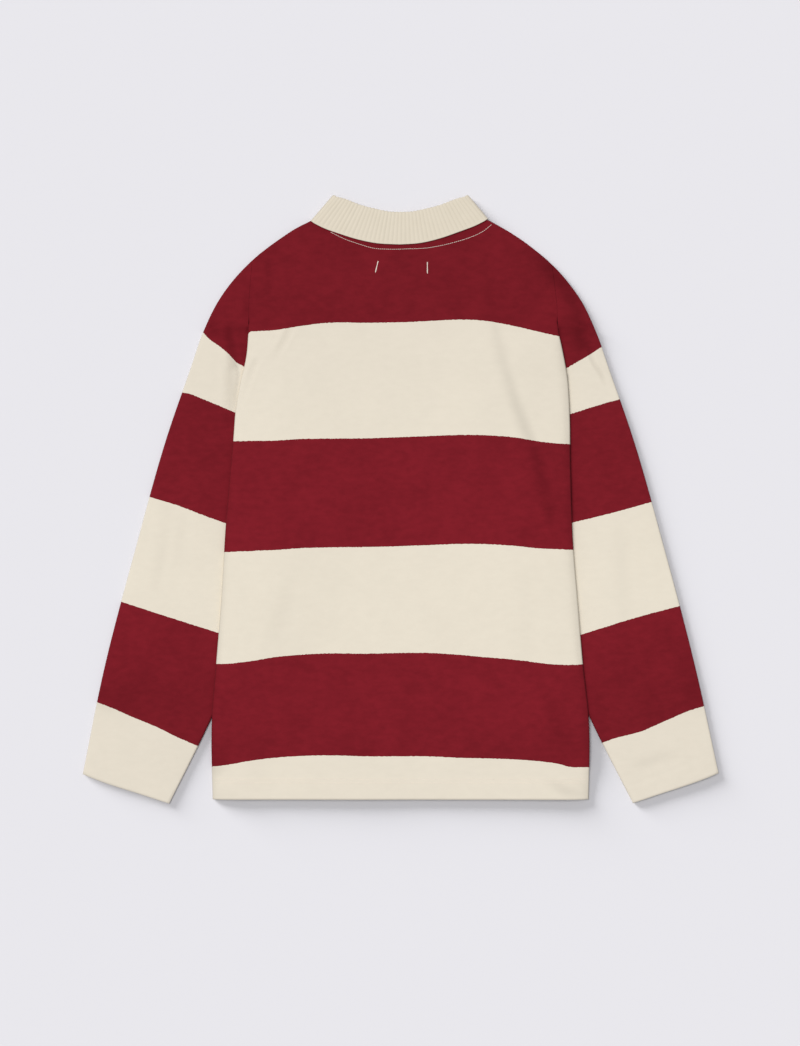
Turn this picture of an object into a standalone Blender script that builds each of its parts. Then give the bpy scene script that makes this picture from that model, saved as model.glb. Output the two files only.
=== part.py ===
"""A long-sleeved polo shirt laid flat with its back up.

Frame: metres, +Z up. The cloth rests on the plane z = 0. +Y runs from the hem
to the collar, and +X is to the right as the back is seen from above. The
origin is under the middle of the shirt's box. Sizes below are millimetres.

The layers, from the surface up: the two collar leaves and the sleeves' lower
walls, the sleeves' upper walls, the front, the back, and the collar's fall.
The body lies over the inner part of each sleeve.
"""

import bmesh
import bpy
import numpy as np

MM = 0.001

# Cloth
WALL = 1.3              # jersey wall
HEM_WALL = 1.8          # wall where the hem is turned up
HEM_DEPTH = 25.0        # depth of the turned-up hem
SEAM_GAP = 0.4          # clear gap between two pieces at a seam
SHOULDER_EASE = 0.6     # more gap where the sleeve's fold meets the shoulder's
PLY = 5.0               # from the outer face of one wall to that of the wall above it
EDGE_GAP = 1.7          # between the rolled edges of the back and the front
ROLL_RADIUS = (PLY - EDGE_GAP) / 2      # outer radius of a body edge
ROLL_LENGTH = ROLL_RADIUS * np.pi / 2
ROLL_STEPS = 3
FOLD_RADIUS = PLY / 2   # outer radius of a sleeve's folded edge

# Heights that the body is carried at
OVER_SLEEVE = 5.9       # above a sleeve
OVER_LEAF = 2.2         # above a collar leaf
OVER_PLACKET = 4.1      # above the placket and its buttons
MARGIN = 16.0           # the full height is kept this far past the piece below
SLOPE = 28.0            # then the cloth comes down over this length

# Collar
COLLAR_WALL = 1.7
COLLAR_MIDDLE = OVER_LEAF + PLY / 2     # plane between its back half and front half
COLLAR_FOLD = 2.0       # outer radius of the fold between stand and fall
COLLAR_FOLD_LEVEL = COLLAR_MIDDLE - COLLAR_FOLD     # of the fold's axis, from that plane
COLLAR_WRAP = COLLAR_FOLD_LEVEL + COLLAR_FOLD
RIB_COUNT = 39          # ribs across the back, two columns each
RIB_HEIGHT = 0.6
STAND_ROWS = (1.0, 0.5)             # shares of the way from the fold to the neck seam
FOLD_ROWS = 5                       # rows round the fold
FALL_ROWS = (0.3, 0.62, 0.9, 1.0)   # shares of the way from the fold to the free edge

# Placket and buttons
PLACKET_WIDTH = 30.0
PLACKET_LENGTH = 135.0
PLACKET_WALL = 1.5
PLACKET_LEVEL = 2.3     # its lower face
BUTTON_COUNT = 3
BUTTON_PITCH = 45.0
BUTTON_FIRST = 18.0     # from the placket's top to the first button
BUTTON_RADIUS = 5.5
BUTTON_THICKNESS = 2.0
BUTTON_HOLE_RADIUS = 0.7
BUTTON_HOLE_OFFSET = 1.5

# Outlines, x and y, each from the hem or the body outwards.
SIDE = {
    "left": [
        (-225.6, -360.0), (-226.1, -262.0), (-221.0, -197.0), (-214.8, -120.0),
        (-209.3, -29.0), (-200.4, 71.0), (-197.2, 110.0), (-191.6, 142.0),
        (-185.2, 169.0), (-182.4, 201.0), (-181.6, 240.0), (-178.0, 288.0)],
    "right": [
        (225.8, -360.0), (225.8, -265.0), (219.5, -199.0), (213.0, -118.0),
        (207.6, -60.0), (204.4, 40.0), (203.7, 105.0), (201.1, 146.0),
        (195.1, 180.0), (190.0, 201.0), (187.0, 240.0), (181.8, 284.0)],
}
SHOULDER = {
    "left": [(-178.0, 288.0), (-165.0, 299.0), (-146.0, 313.0), (-123.8, 327.2),
             (-116.0, 329.6), (-107.0, 330.0), (-94.2, 333.0)],
    "right": [(181.8, 284.0), (163.3, 298.8), (144.0, 313.0), (122.0, 327.2),
              (116.0, 329.6), (107.0, 330.0), (94.2, 333.0)],
}
BACK_NECK_DEPTH = 23.4      # from the shoulder seam's end to the neckline's middle
FRONT_NECK_DEPTH = 72.6

# The sleeve's head follows the body's side down to this height, then runs
# inwards under the body to the underarm.
HEAD_LEAVES = 216.0
HIDDEN_HEAD = {
    "left": [(-172.0, 186.0), (-140.0, 136.0), (-98.4, 85.2)],
    "right": [(177.0, 186.0), (142.0, 136.0), (98.4, 85.2)],
}
SLEEVE_OUTER = {
    "left": [(-178.0, 288.0), (-202.4, 262.8), (-218.0, 241.0), (-235.8, 205.0),
             (-253.2, 154.8), (-278.3, 82.8), (-319.2, -61.0), (-357.1, -205.0),
             (-382.2, -330.0)],
    "right": [(181.8, 284.0), (201.0, 262.8), (216.6, 241.0), (234.6, 205.0),
              (252.0, 154.8), (277.4, 82.8), (318.8, -61.0), (355.9, -205.0),
              (382.8, -328.8)],
}
SLEEVE_INNER = {
    "left": [(-98.4, 85.2), (-155.0, -85.0), (-226.1, -260.9), (-277.8, -365.4)],
    "right": [(98.4, 85.2), (155.0, -85.0), (226.9, -261.4), (279.0, -364.8)],
}
CUFF = {
    "left": [(-382.2, -330.0), (-360.0, -338.2), (-302.0, -357.2), (-277.8, -365.4)],
    "right": [(382.8, -328.8), (360.0, -337.2), (302.0, -356.8), (279.0, -364.8)],
}

# Collar lines on its right half, x and y, from the side to the middle.
COLLAR_SIDE_FOLD = (80.6, 365.6)        # outermost corner at the fold
COLLAR_SIDE_FREE = (109.2, 333.2)       # outermost corner at the free edge
BACK_FOLD = [(64.8, 360.6), (45.6, 352.2), (26.4, 347.2), (0.0, 345.4)]
BACK_FREE = [(91.2, 325.4), (62.4, 315.2), (33.6, 308.2), (0.0, 306.0)]
FRONT_FOLD = [(60.0, 336.0), (36.0, 308.0), (14.4, 291.0)]
FRONT_FREE = [(96.0, 300.0), (68.0, 264.0), (40.0, 243.0)]


def curve(rows, share):
    """Points on the smooth line through the rows, at shares of its length."""
    rows = np.asarray(rows, float)
    length = np.r_[0, np.cumsum(np.linalg.norm(np.diff(rows, axis=0), axis=1))]
    along = length / length[-1]
    step = np.diff(along)
    slope = np.diff(rows, axis=0) / step[:, None]
    inner = (slope[:-1] * step[1:, None] + slope[1:] * step[:-1, None]) / (
        step[:-1] + step[1:])[:, None]
    tangent = np.vstack([slope[:1], inner, slope[-1:]])
    share = np.asarray(share, float)
    k = np.clip(np.searchsorted(along, share, side="right") - 1, 0, len(rows) - 2)
    t = ((share - along[k]) / step[k])[..., None]
    h = step[k][..., None]
    return (rows[k] * (1 + 2 * t) * (1 - t) ** 2 + tangent[k] * h * t * (1 - t) ** 2
            + rows[k + 1] * t ** 2 * (3 - 2 * t) + tangent[k + 1] * h * t ** 2 * (t - 1))


def unit(vector):
    return vector / np.linalg.norm(vector, axis=-1, keepdims=True)


def outward(points, away_from):
    """Unit normals of a flat line of points, turned away from a place."""
    run = np.gradient(points, axis=0)
    normal = unit(np.stack([run[:, 1], -run[:, 0]], -1))
    side = np.sign(((points - away_from) * normal).sum(1, keepdims=True))
    return normal * side


def patch(bottom, top, left, right, across=None):
    """A Coons patch: the flat grid of points between four lines that meet.

    The columns are evenly spaced, or lie at the shares given in across.
    """
    across = np.linspace(0, 1, len(bottom)) if across is None else across
    u = across[None, :, None]
    v = np.linspace(0, 1, len(left))[:, None, None]
    from_ends = (1 - v) * bottom[None] + v * top[None]
    from_sides = (1 - u) * left[:, None] + u * right[:, None]
    corners = ((1 - u) * (1 - v) * bottom[0] + u * (1 - v) * bottom[-1]
               + (1 - u) * v * top[0] + u * v * top[-1])
    return from_ends + from_sides - corners


def distance(points, line):
    """Shortest distance from each point to a line of straight stretches."""
    line = np.asarray(line, float)
    start, run = line[:-1], np.diff(line, axis=0)
    to = points[..., None, :] - start
    along = np.clip((to * run).sum(-1) / (run ** 2).sum(-1), 0, 1)
    return np.linalg.norm(to - along[..., None] * run, axis=-1).min(-1)


def inside(points, corners):
    """Whether each point is in the polygon, by the even-odd rule."""
    a = np.asarray(corners, float)
    b = np.roll(a, -1, axis=0)
    x, y = points[..., 0, None], points[..., 1, None]
    spans = (a[:, 1] > y) != (b[:, 1] > y)
    rise = np.where(b[:, 1] == a[:, 1], 1.0, b[:, 1] - a[:, 1])
    crossing = a[:, 0] + (y - a[:, 1]) / rise * (b[:, 0] - a[:, 0])
    return (spans & (x < crossing)).sum(-1) % 2 == 1


def ramp(gap):
    """1 within MARGIN of a piece below, easing to 0 over the next SLOPE."""
    s = np.clip((MARGIN + SLOPE - gap) / SLOPE, 0, 1)
    return s * s * (3 - 2 * s)


def sleeve_head(side, share):
    """The head line from the shoulder: the body's own side line, then the hidden rows."""
    line = curve(SIDE[side], np.linspace(0, 1, 200))
    seam = line[line[:, 1] >= HEAD_LEAVES][::-1]
    spaced = np.linspace(0, len(seam) - 1, 5).astype(int)
    return curve(np.vstack([seam[spaced], HIDDEN_HEAD[side]]), share)


def hidden_line(side):
    """The sleeve's edge under the body: its head from the seam's end, then inwards."""
    head = sleeve_head(side, np.linspace(0, 1, 41))
    inner = curve(SLEEVE_INNER[side], np.linspace(0, 1, 25))
    return np.vstack([head[head[:, 1] <= HEAD_LEAVES + 3], inner[1:]])


def collar_leaf_outline(sign):
    """Corners of one collar leaf, with the shoulder end it wraps."""
    rows = [COLLAR_SIDE_FOLD, COLLAR_SIDE_FREE] + FRONT_FREE + [FRONT_FOLD[-1]]
    return np.array(rows) * (sign, 1)


def placket_box():
    top = SHOULDER["left"][-1][1] - FRONT_NECK_DEPTH
    half = PLACKET_WIDTH / 2
    return np.array([(-half, top), (half, top), (half, top - PLACKET_LENGTH),
                     (-half, top - PLACKET_LENGTH), (-half, top)])


def carried_height(points):
    """How high the body's underside is carried by the pieces that lie below it."""
    total = np.zeros(points.shape[:-1])
    for side, sign in (("left", -1), ("right", 1)):
        line = hidden_line(side)
        far = [(sign * 600.0, line[-1, 1]), (sign * 600.0, line[0, 1])]
        over = inside(points, np.vstack([line, far]))
        total += (OVER_SLEEVE * np.where(over, 1, ramp(distance(points, line)))) ** 3
        leaf = collar_leaf_outline(sign)
        over = inside(points, leaf)
        gap = distance(points, np.vstack([leaf, leaf[:1]]))
        total += (OVER_LEAF * np.where(over, 1, ramp(gap))) ** 3 / 2
    box = placket_box()
    over = inside(points, box[:-1])
    total += (OVER_PLACKET * np.where(over, 1, ramp(distance(points, box)))) ** 3
    return np.cbrt(total)


def edge_roll(points):
    """How far a body's side edge is rolled, 0 to 1: not where it joins the sleeve."""
    rolled = np.zeros(points.shape[:-1])
    for side in SIDE:
        below = points[..., 1] < HEAD_LEAVES
        near = ramp(np.abs(points[..., 1] - HEAD_LEAVES))
        same = np.sign(points[..., 0]) == np.sign(SIDE[side][0][0])
        rolled = np.where(same, np.where(below, 1.0, near), rolled)
    return rolled


def roll_profile(turn, share):
    """Reach and drop along an edge that turns through an angle over ROLL_LENGTH."""
    turn = np.maximum(turn, 1e-4)
    radius = ROLL_LENGTH / turn
    return radius * np.sin(turn * share), radius * (1 - np.cos(turn * share))


def body_side(side, share):
    """Outer and inner plan line of a body side from the hem up, and its roll's turn.

    The side ends one roll below the shoulder. The inner line is where the roll
    starts; at the top it moves to lie along the shoulder.
    """
    line = curve(SIDE[side], np.linspace(0, 1, 200))
    length = np.linalg.norm(np.diff(line, axis=0), axis=1).sum()
    outer = curve(SIDE[side], share * (1 - ROLL_RADIUS / length))
    normal = outward(outer, (0.0, 0.0))
    turn = edge_roll(outer) * np.pi / 2
    outer = outer - normal * (SEAM_GAP / 2 * (turn < 1.0))[:, None]
    reach = roll_profile(turn, np.ones(len(share)))[0]
    shoulder = curve(SHOULDER[side], np.array([0.0, 0.05]))
    along = unit(shoulder[1] - shoulder[0])
    near_top = share[:, None] ** 24
    inward = unit(-normal * (1 - near_top) + along * near_top)
    stretch = 1 / np.maximum(np.abs((inward * normal).sum(1)), 0.5)
    return outer, outer + inward * (reach * stretch)[:, None], turn


def shoulder_line(side, inner_corner, seam_direction, count):
    """Inner plan line of a shoulder's roll, its direction and its turn, from the armhole.

    The roll opens out flat under the collar.
    """
    share = np.linspace(0, 1, count)
    line = curve(SHOULDER[side], np.linspace(0, 1, 60))
    start = line[np.argmin(np.abs(line[:, 0] - inner_corner[0]))]
    first = np.argmin(np.abs(line[:, 0] - start[0])) / 59
    points = curve(SHOULDER[side], first + (1 - first) * share)
    near = (1 - share[:, None]) ** 6
    direction = unit(outward(points, (0.0, 0.0)) * (1 - near) + seam_direction * near)
    flat = np.clip((share - 0.75) / 0.25, 0, 1)
    turn = (1 - flat) * np.pi / 2
    inner = points - direction * roll_profile(turn, 1.0)[0][:, None]
    return inner + (inner_corner - inner[0]) * near, direction, turn


def panel_points(neck_depth, columns, rows):
    """Outer face of a body panel as plan points and how far each drops at an edge.

    The plan is a patch between the hem, the two sides and the top edge, which
    is the shoulders and the neckline. The last columns and the shoulders' last
    rows turn through a quarter circle towards the other panel.
    """
    share = np.linspace(0, 1, rows)
    part = np.linspace(0, 1, ROLL_STEPS + 1)[1:]
    shoulder_columns, neck_columns = columns
    sides, shoulders = {}, {}
    for side in SIDE:
        outer, inner, turn = body_side(side, share)
        seam_direction = unit(outer[-1] - outer[-2])
        sides[side] = (outer, inner, turn)
        shoulders[side] = shoulder_line(side, inner[-1], seam_direction, shoulder_columns + 1)

    end_x, end_y = SHOULDER["right"][-1]
    x = np.linspace(-end_x, end_x, neck_columns + 1)[1:-1]
    neck = np.stack([x, end_y - neck_depth * (1 - (x / end_x) ** 2)], -1)
    neck_direction = np.tile((0.0, 1.0), (len(neck), 1))
    left, left_direction, left_turn = shoulders["left"]
    right, right_direction, right_turn = shoulders["right"]
    top = np.vstack([left, neck - neck_direction * ROLL_LENGTH, right[::-1]])
    direction = np.vstack([left_direction, neck_direction, right_direction[::-1]])
    top_turn = np.r_[left_turn, np.zeros(len(neck)), right_turn[::-1]]

    across = (top[:, 0] - top[0, 0]) / (top[-1, 0] - top[0, 0])
    left_in, right_in = sides["left"][1], sides["right"][1]
    hem = left_in[0] + across[:, None] * (right_in[0] - left_in[0])
    plan = patch(hem, top, left_in, right_in, across)
    drop = np.zeros(plan.shape[:2])

    # Quarter-circle rows along the shoulders; the neckline's rows stay flat.
    reach, fall = roll_profile(top_turn[None], part[:, None])
    plan = np.concatenate([plan, plan[-1:] + direction[None] * reach[..., None]])
    drop = np.concatenate([drop, fall])

    # Quarter-circle columns along the sides, which go on past the shoulders' rows.
    for side, column in (("left", 0), ("right", -1)):
        outer, inner, turn = sides[side]
        turn = np.r_[turn, np.full(ROLL_STEPS, turn[-1])]
        reach, fall = roll_profile(turn[:, None], part[None])
        full = roll_profile(turn[:, None], np.ones((1, 1)))[0]
        span = np.vstack([outer - inner, np.tile(outer[-1] - inner[-1], (ROLL_STEPS, 1))])
        edge = plan[:, column][:, None] + span[:, None] * (reach / full)[..., None]
        edge_drop = drop[:, column][:, None] + fall
        if side == "left":
            plan = np.concatenate([edge[:, ::-1], plan], axis=1)
            drop = np.concatenate([edge_drop[:, ::-1], drop], axis=1)
        else:
            plan = np.concatenate([plan, edge], axis=1)
            drop = np.concatenate([drop, edge_drop], axis=1)
    return plan, drop


def grid_mesh(name, points):
    """A mesh of a rows by columns array of points, made from a flat grid."""
    rows, columns = points.shape[:2]
    bm = bmesh.new()
    bmesh.ops.create_grid(bm, x_segments=columns - 1, y_segments=rows - 1, size=1)
    for vertex in bm.verts:
        column = round((vertex.co.x + 1) / 2 * (columns - 1))
        row = round((vertex.co.y + 1) / 2 * (rows - 1))
        vertex.co = points[row, column] * MM
    bmesh.ops.remove_doubles(bm, verts=bm.verts, dist=1e-6)
    mesh = bpy.data.meshes.new(name)
    bm.to_mesh(mesh)
    bm.free()
    return mesh


def add_object(name, mesh, material, collection):
    thing = bpy.data.objects.new(name, mesh)
    collection.objects.link(thing)
    mesh.materials.clear()
    mesh.materials.append(material)
    mesh.shade_smooth()
    return thing


def add_wall(thing, wall, thin=1.0, group=None):
    """Grows the wall inwards from the outer face; thin is the share outside the group."""
    solid = thing.modifiers.new("wall", "SOLIDIFY")
    solid.thickness = wall * MM
    solid.offset = -1
    if group:
        solid.vertex_group = group
        solid.thickness_vertex_group = thin
    return solid


def make_material(name, colour, roughness):
    """A Principled material; the colour is linear."""
    material = bpy.data.materials.new(name)
    material.use_nodes = True
    shader = material.node_tree.nodes["Principled BSDF"]
    shader.inputs["Base Color"].default_value = (*colour, 1)
    shader.inputs["Roughness"].default_value = roughness
    shader.inputs["Metallic"].default_value = 0
    return material


def add_panel(name, neck_depth, faces_up, material, collection):
    """The back, outer face up, or the front, outer face down."""
    plan, drop = panel_points(neck_depth, columns=(5, 12), rows=28)
    height = carried_height(plan)
    level = height + PLY - drop if faces_up else height + drop
    points = np.concatenate([plan, level[..., None]], axis=-1)
    if not faces_up:
        points = points[:, ::-1]
    panel = add_object(name, grid_mesh(name, points), material, collection)
    hem = panel.vertex_groups.new(name="hem")
    line = (SIDE["left"][0][1] + HEM_DEPTH) * MM
    clear = (SIDE["right"][0][0] - 2 * ROLL_LENGTH) * MM
    low = [v.index for v in panel.data.vertices if v.co.y < line and abs(v.co.x) < clear]
    hem.add(low, 1.0, "REPLACE")
    add_wall(panel, HEM_WALL, thin=WALL / HEM_WALL, group="hem")
    return panel


def add_sleeve(side, material, collection):
    """A flattened tube from the armhole to the cuff, open at both ends.

    The flat walls are one patch between the head, the cuff and the two
    folded edges. Each ring goes round the lower wall, the inner fold, the
    upper wall and the outer fold.
    """
    columns, rows, steps = 10, 18, 5
    share = np.linspace(0, 1, columns)
    down = np.linspace(0, 1, rows)
    head = sleeve_head(side, share)
    cuff = curve(CUFF[side], share)
    outer = curve(SLEEVE_OUTER[side], down)
    inner = curve(SLEEVE_INNER[side], down)
    centre = (outer.mean(0) + inner.mean(0)) / 2
    outer_normal, inner_normal = outward(outer, centre), outward(inner, centre)
    near_head = (1 - down[:, None]) ** 16
    outer_normal = unit(outer_normal * (1 - near_head) + unit(head[0] - head[1]) * near_head)
    seam = outward(head, (0.0, 150.0))
    gap = SEAM_GAP / 2 + SHOULDER_EASE * (1 - share) ** 4
    head = head + seam * gap[:, None]
    outer = outer + seam[0] * gap[0] * near_head
    outer_in = outer - outer_normal * FOLD_RADIUS
    inner_in = inner - inner_normal * FOLD_RADIUS
    fit = share[:, None]
    head = head + (1 - fit) * (outer_in[0] - head[0]) + fit * (inner_in[0] - head[-1])
    cuff = cuff + (1 - fit) * (outer_in[-1] - cuff[0]) + fit * (inner_in[-1] - cuff[-1])
    flat = patch(head, cuff, outer_in, inner_in)

    angle = np.linspace(0, np.pi, steps + 1)[1:-1]
    reach, rise = FOLD_RADIUS * np.sin(angle), FOLD_RADIUS * (1 - np.cos(angle))

    def fold(line, normal):
        turn = line[:, None] + normal[:, None] * reach[None, :, None]
        return np.concatenate([turn, np.tile(rise, (rows, 1))[..., None]], axis=-1)

    def wall(level):
        return np.concatenate([flat, np.full((*flat.shape[:2], 1), level)], axis=-1)

    ring = np.concatenate([wall(0.0), fold(inner_in, inner_normal), wall(PLY)[:, ::-1],
                           fold(outer_in, outer_normal)[:, ::-1]], axis=1)
    ring = np.concatenate([ring, ring[:, :1]], axis=1)
    if side == "right":
        ring = ring[:, ::-1]
    name = f"sleeve_{side}"
    sleeve = add_object(name, grid_mesh(name, ring), material, collection)
    add_wall(sleeve, WALL)
    return sleeve


def add_collar(material, collection):
    """One rib strip, folded into stand and fall and wrapped round the neck.

    Rows run from the neck seam up the stand, over the fold and down the fall.
    Columns run from the right front leaf, round the right side, across the
    back and round the left side to the left front leaf. A row at a distance
    from the middle plane goes round each side on a half circle of that radius.
    """
    corner_fold, corner_free = np.array(COLLAR_SIDE_FOLD), np.array(COLLAR_SIDE_FREE)
    slant = unit(corner_fold - corner_free)
    side_normal = np.array((slant[1], -slant[0]))
    fold_side = corner_fold - side_normal * COLLAR_WRAP - slant * COLLAR_FOLD
    free_side = corner_free - side_normal * COLLAR_WRAP
    neck_end = np.array(SHOULDER["right"][-1])
    seam_side = neck_end + np.array((-4.6, 2.4))

    shares = np.linspace(0, 1, RIB_COUNT + 1)
    leaf = np.linspace(0, 1, 9)[1:]

    def neck_line(depth, x):
        end_x = neck_end[0]
        return np.stack([x, neck_end[1] - depth * (1 - (x / end_x) ** 2) + SEAM_GAP], -1)

    back_x = seam_side[0] * (1 - shares)
    front_x = seam_side[0] + (FRONT_FOLD[-1][0] - seam_side[0]) * leaf
    blend = (1 - shares[:, None]) ** 3
    back_seam = neck_line(BACK_NECK_DEPTH, back_x)
    back_seam = back_seam + (seam_side - back_seam[0]) * blend
    front_seam = neck_line(FRONT_NECK_DEPTH, front_x)
    front_seam = front_seam + (0, 1.2)

    inset = np.array((0.0, COLLAR_FOLD))
    back = {
        "seam": back_seam,
        "fold": curve([fold_side] + [np.array(p) - inset for p in BACK_FOLD], shares),
        "free": curve([free_side] + BACK_FREE, shares),
    }
    front = {
        "seam": front_seam,
        "fold": curve([fold_side] + [np.array(p) - inset for p in FRONT_FOLD], leaf),
        "free": curve([free_side] + FRONT_FREE, leaf),
    }

    def rows_of(lines, fold_direction):
        """Plan points and level from the middle plane, row by row."""
        plan, level = [], []
        for share in STAND_ROWS:
            plan.append(lines["fold"] + (lines["seam"] - lines["fold"]) * share)
            level.append(COLLAR_FOLD_LEVEL - COLLAR_FOLD)
        for angle in np.linspace(-np.pi / 2, np.pi / 2, FOLD_ROWS):
            plan.append(lines["fold"] + fold_direction * COLLAR_FOLD * np.cos(angle))
            level.append(COLLAR_FOLD_LEVEL + COLLAR_FOLD * np.sin(angle))
        for share in FALL_ROWS:
            plan.append(lines["fold"] + (lines["free"] - lines["fold"]) * share)
            level.append(COLLAR_WRAP)
        return np.array(plan), np.array(level)

    up = np.array((0.0, 1.0))

    def turned(share):
        near_side = (1 - share[:, None]) ** 2
        return unit(slant * near_side + up * (1 - near_side))

    back_plan, level = rows_of(back, turned(shares))
    front_plan, _ = rows_of(front, turned(leaf))
    wrap_angles = np.linspace(0, np.pi, 7)[1:]
    start = back_plan[:, :1]
    wrap_plan = start + side_normal * level[:, None, None] * np.sin(wrap_angles)[:, None]
    wrap_level = level[:, None] * np.cos(wrap_angles)

    half_plan = np.concatenate([back_plan[:, ::-1], wrap_plan, front_plan], axis=1)
    half_level = np.concatenate([np.tile(level[:, None], (1, len(shares))), wrap_level,
                                 np.tile(-level[:, None], (1, len(leaf)))], axis=1)
    right = np.concatenate([half_plan, (COLLAR_MIDDLE + half_level)[..., None]], axis=-1)
    left = right[:, :0:-1] * (-1, 1, 1)
    points = np.concatenate([left, right], axis=1)[:, ::-1]

    mesh = grid_mesh("collar", points)
    collar = add_object("collar", mesh, material, collection)
    wall = add_wall(collar, COLLAR_WALL)
    outer_count = len(mesh.vertices)
    bpy.context.view_layer.update()
    solid = bpy.data.meshes.new_from_object(
        collar.evaluated_get(bpy.context.evaluated_depsgraph_get()))
    collar.modifiers.remove(wall)
    collar.data = solid
    raise_ribs(solid, outer_count, points)
    return collar


def raise_ribs(mesh, outer_count, points):
    """Moves every second column of the outer face out, on the back's fall and fold.

    The wall keeps the outer face's points first, in the grid's order. The free
    edge stays plain, as the knit is finished there.
    """
    rows, columns = points.shape[:2]
    ribbed_rows = range(len(STAND_ROWS) + FOLD_ROWS // 2, rows - 1)
    ribs = np.arange(columns) % 2 == 0
    normals = [vertex.normal.copy() for vertex in mesh.vertices]
    for index in range(outer_count):
        row, column = divmod(index, columns)
        on_top = points[row, column, 2] > COLLAR_MIDDLE
        if ribs[column] and on_top and row in ribbed_rows:
            mesh.vertices[index].co += normals[index] * RIB_HEIGHT * MM


def add_placket(material, collection):
    """The strip that edges the front opening, as one flat bar."""
    box = placket_box()
    centre = (box.min(0) + box.max(0)) / 2
    bm = bmesh.new()
    bmesh.ops.create_cube(bm, size=1)
    top_clear = 2.0
    size = np.array((PLACKET_WIDTH, PLACKET_LENGTH - top_clear, PLACKET_WALL)) * MM
    bmesh.ops.scale(bm, verts=bm.verts, vec=size)
    mesh = bpy.data.meshes.new("placket")
    bm.to_mesh(mesh)
    bm.free()
    placket = add_object("placket", mesh, material, collection)
    placket.location = (centre[0] * MM, (centre[1] - top_clear / 2) * MM,
                        (PLACKET_LEVEL + PLACKET_WALL / 2) * MM)
    return placket


def add_button(number, material, collection, cutters):
    """A round button, face down, with four holes."""
    edge = 0.6
    sides = 20
    bm = bmesh.new()
    bmesh.ops.create_cone(bm, cap_ends=True, segments=sides, radius1=BUTTON_RADIUS * MM,
                          radius2=BUTTON_RADIUS * MM, depth=BUTTON_THICKNESS * MM)
    name = f"button_{number}"
    mesh = bpy.data.meshes.new(name)
    bm.to_mesh(mesh)
    bm.free()
    button = add_object(name, mesh, material, collection)
    y = placket_box()[0, 1] - BUTTON_FIRST - (number - 1) * BUTTON_PITCH
    button.location = (0, y * MM, BUTTON_THICKNESS / 2 * MM)
    bevel = button.modifiers.new("edge", "BEVEL")
    bevel.width = edge * MM
    bevel.segments = 1

    bm = bmesh.new()
    for corner in range(4):
        angle = np.pi / 4 + corner * np.pi / 2
        hole = bmesh.ops.create_cone(bm, cap_ends=True, segments=8, depth=3 * BUTTON_THICKNESS * MM,
                                     radius1=BUTTON_HOLE_RADIUS * MM,
                                     radius2=BUTTON_HOLE_RADIUS * MM)
        move = np.array((np.cos(angle), np.sin(angle), 0)) * BUTTON_HOLE_OFFSET * MM
        bmesh.ops.translate(bm, verts=hole["verts"], vec=move)
    hole_mesh = bpy.data.meshes.new(f"{name}_holes")
    bm.to_mesh(hole_mesh)
    bm.free()
    holes = bpy.data.objects.new(f"{name}_holes", hole_mesh)
    cutters.objects.link(holes)
    holes.location = button.location
    holes.hide_render = True
    holes.display_type = "WIRE"
    cut = button.modifiers.new("holes", "BOOLEAN")
    cut.operation = "DIFFERENCE"
    cut.object = holes
    return button


def new_collection(name):
    collection = bpy.data.collections.new(name)
    bpy.context.scene.collection.children.link(collection)
    return collection


def main():
    for thing in list(bpy.data.objects):
        bpy.data.objects.remove(thing)
    shirt, cutters = new_collection("polo_shirt"), new_collection("cutters")
    burgundy = (0.202, 0.013, 0.022)
    cream = (0.80, 0.73, 0.61)
    add_panel("back", BACK_NECK_DEPTH, True, make_material("back", burgundy, 0.9), shirt)
    add_panel("front", FRONT_NECK_DEPTH, False, make_material("front", burgundy, 0.9), shirt)
    for side in SIDE:
        add_sleeve(side, make_material(f"sleeve_{side}", burgundy, 0.9), shirt)
    add_collar(make_material("collar", cream, 0.9), shirt)
    add_placket(make_material("placket", cream, 0.9), shirt)
    for number in range(1, BUTTON_COUNT + 1):
        add_button(number, make_material(f"button_{number}", cream, 0.4), shirt, cutters)


main()
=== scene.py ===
"""Dresses a long-sleeved striped polo shirt that lies flat with its back up.

The frame is the part's own: metres, +Z up, +Y from the hem to the collar. The
cloth is drawn in millimetres here and turned to metres where a mesh is made.
Each cloth piece is a grid of points on its outer face and the same grid moved
in by the wall, joined at the rims.
"""

import bpy
import numpy as np
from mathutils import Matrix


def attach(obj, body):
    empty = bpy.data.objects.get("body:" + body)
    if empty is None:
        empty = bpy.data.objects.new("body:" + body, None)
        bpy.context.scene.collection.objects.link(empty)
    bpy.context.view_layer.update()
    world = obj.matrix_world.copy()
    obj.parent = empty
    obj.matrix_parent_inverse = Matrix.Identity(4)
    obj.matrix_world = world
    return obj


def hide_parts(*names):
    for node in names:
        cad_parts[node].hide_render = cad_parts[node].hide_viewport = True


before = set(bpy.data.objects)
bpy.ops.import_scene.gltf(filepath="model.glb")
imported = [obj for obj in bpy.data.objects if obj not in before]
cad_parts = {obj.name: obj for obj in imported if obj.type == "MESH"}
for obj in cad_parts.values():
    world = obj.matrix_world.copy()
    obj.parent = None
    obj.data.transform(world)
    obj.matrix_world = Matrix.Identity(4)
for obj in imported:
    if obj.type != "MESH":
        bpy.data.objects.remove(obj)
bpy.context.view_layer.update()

MM = 0.001
BODY = "root"

# ---- sizes, mm
SIGN = {"left": -1, "right": 1}
WALL = 1.3
HEM_DEPTH = 25.0
SEAM_DIP = 0.05         # how far the cloth sinks at a seam
# How far the back rises inside its side edges, and over what length.
SIDE_CROWN = {"left": (2.4, 4.0), "right": (3.2, 5.5)}
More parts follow.
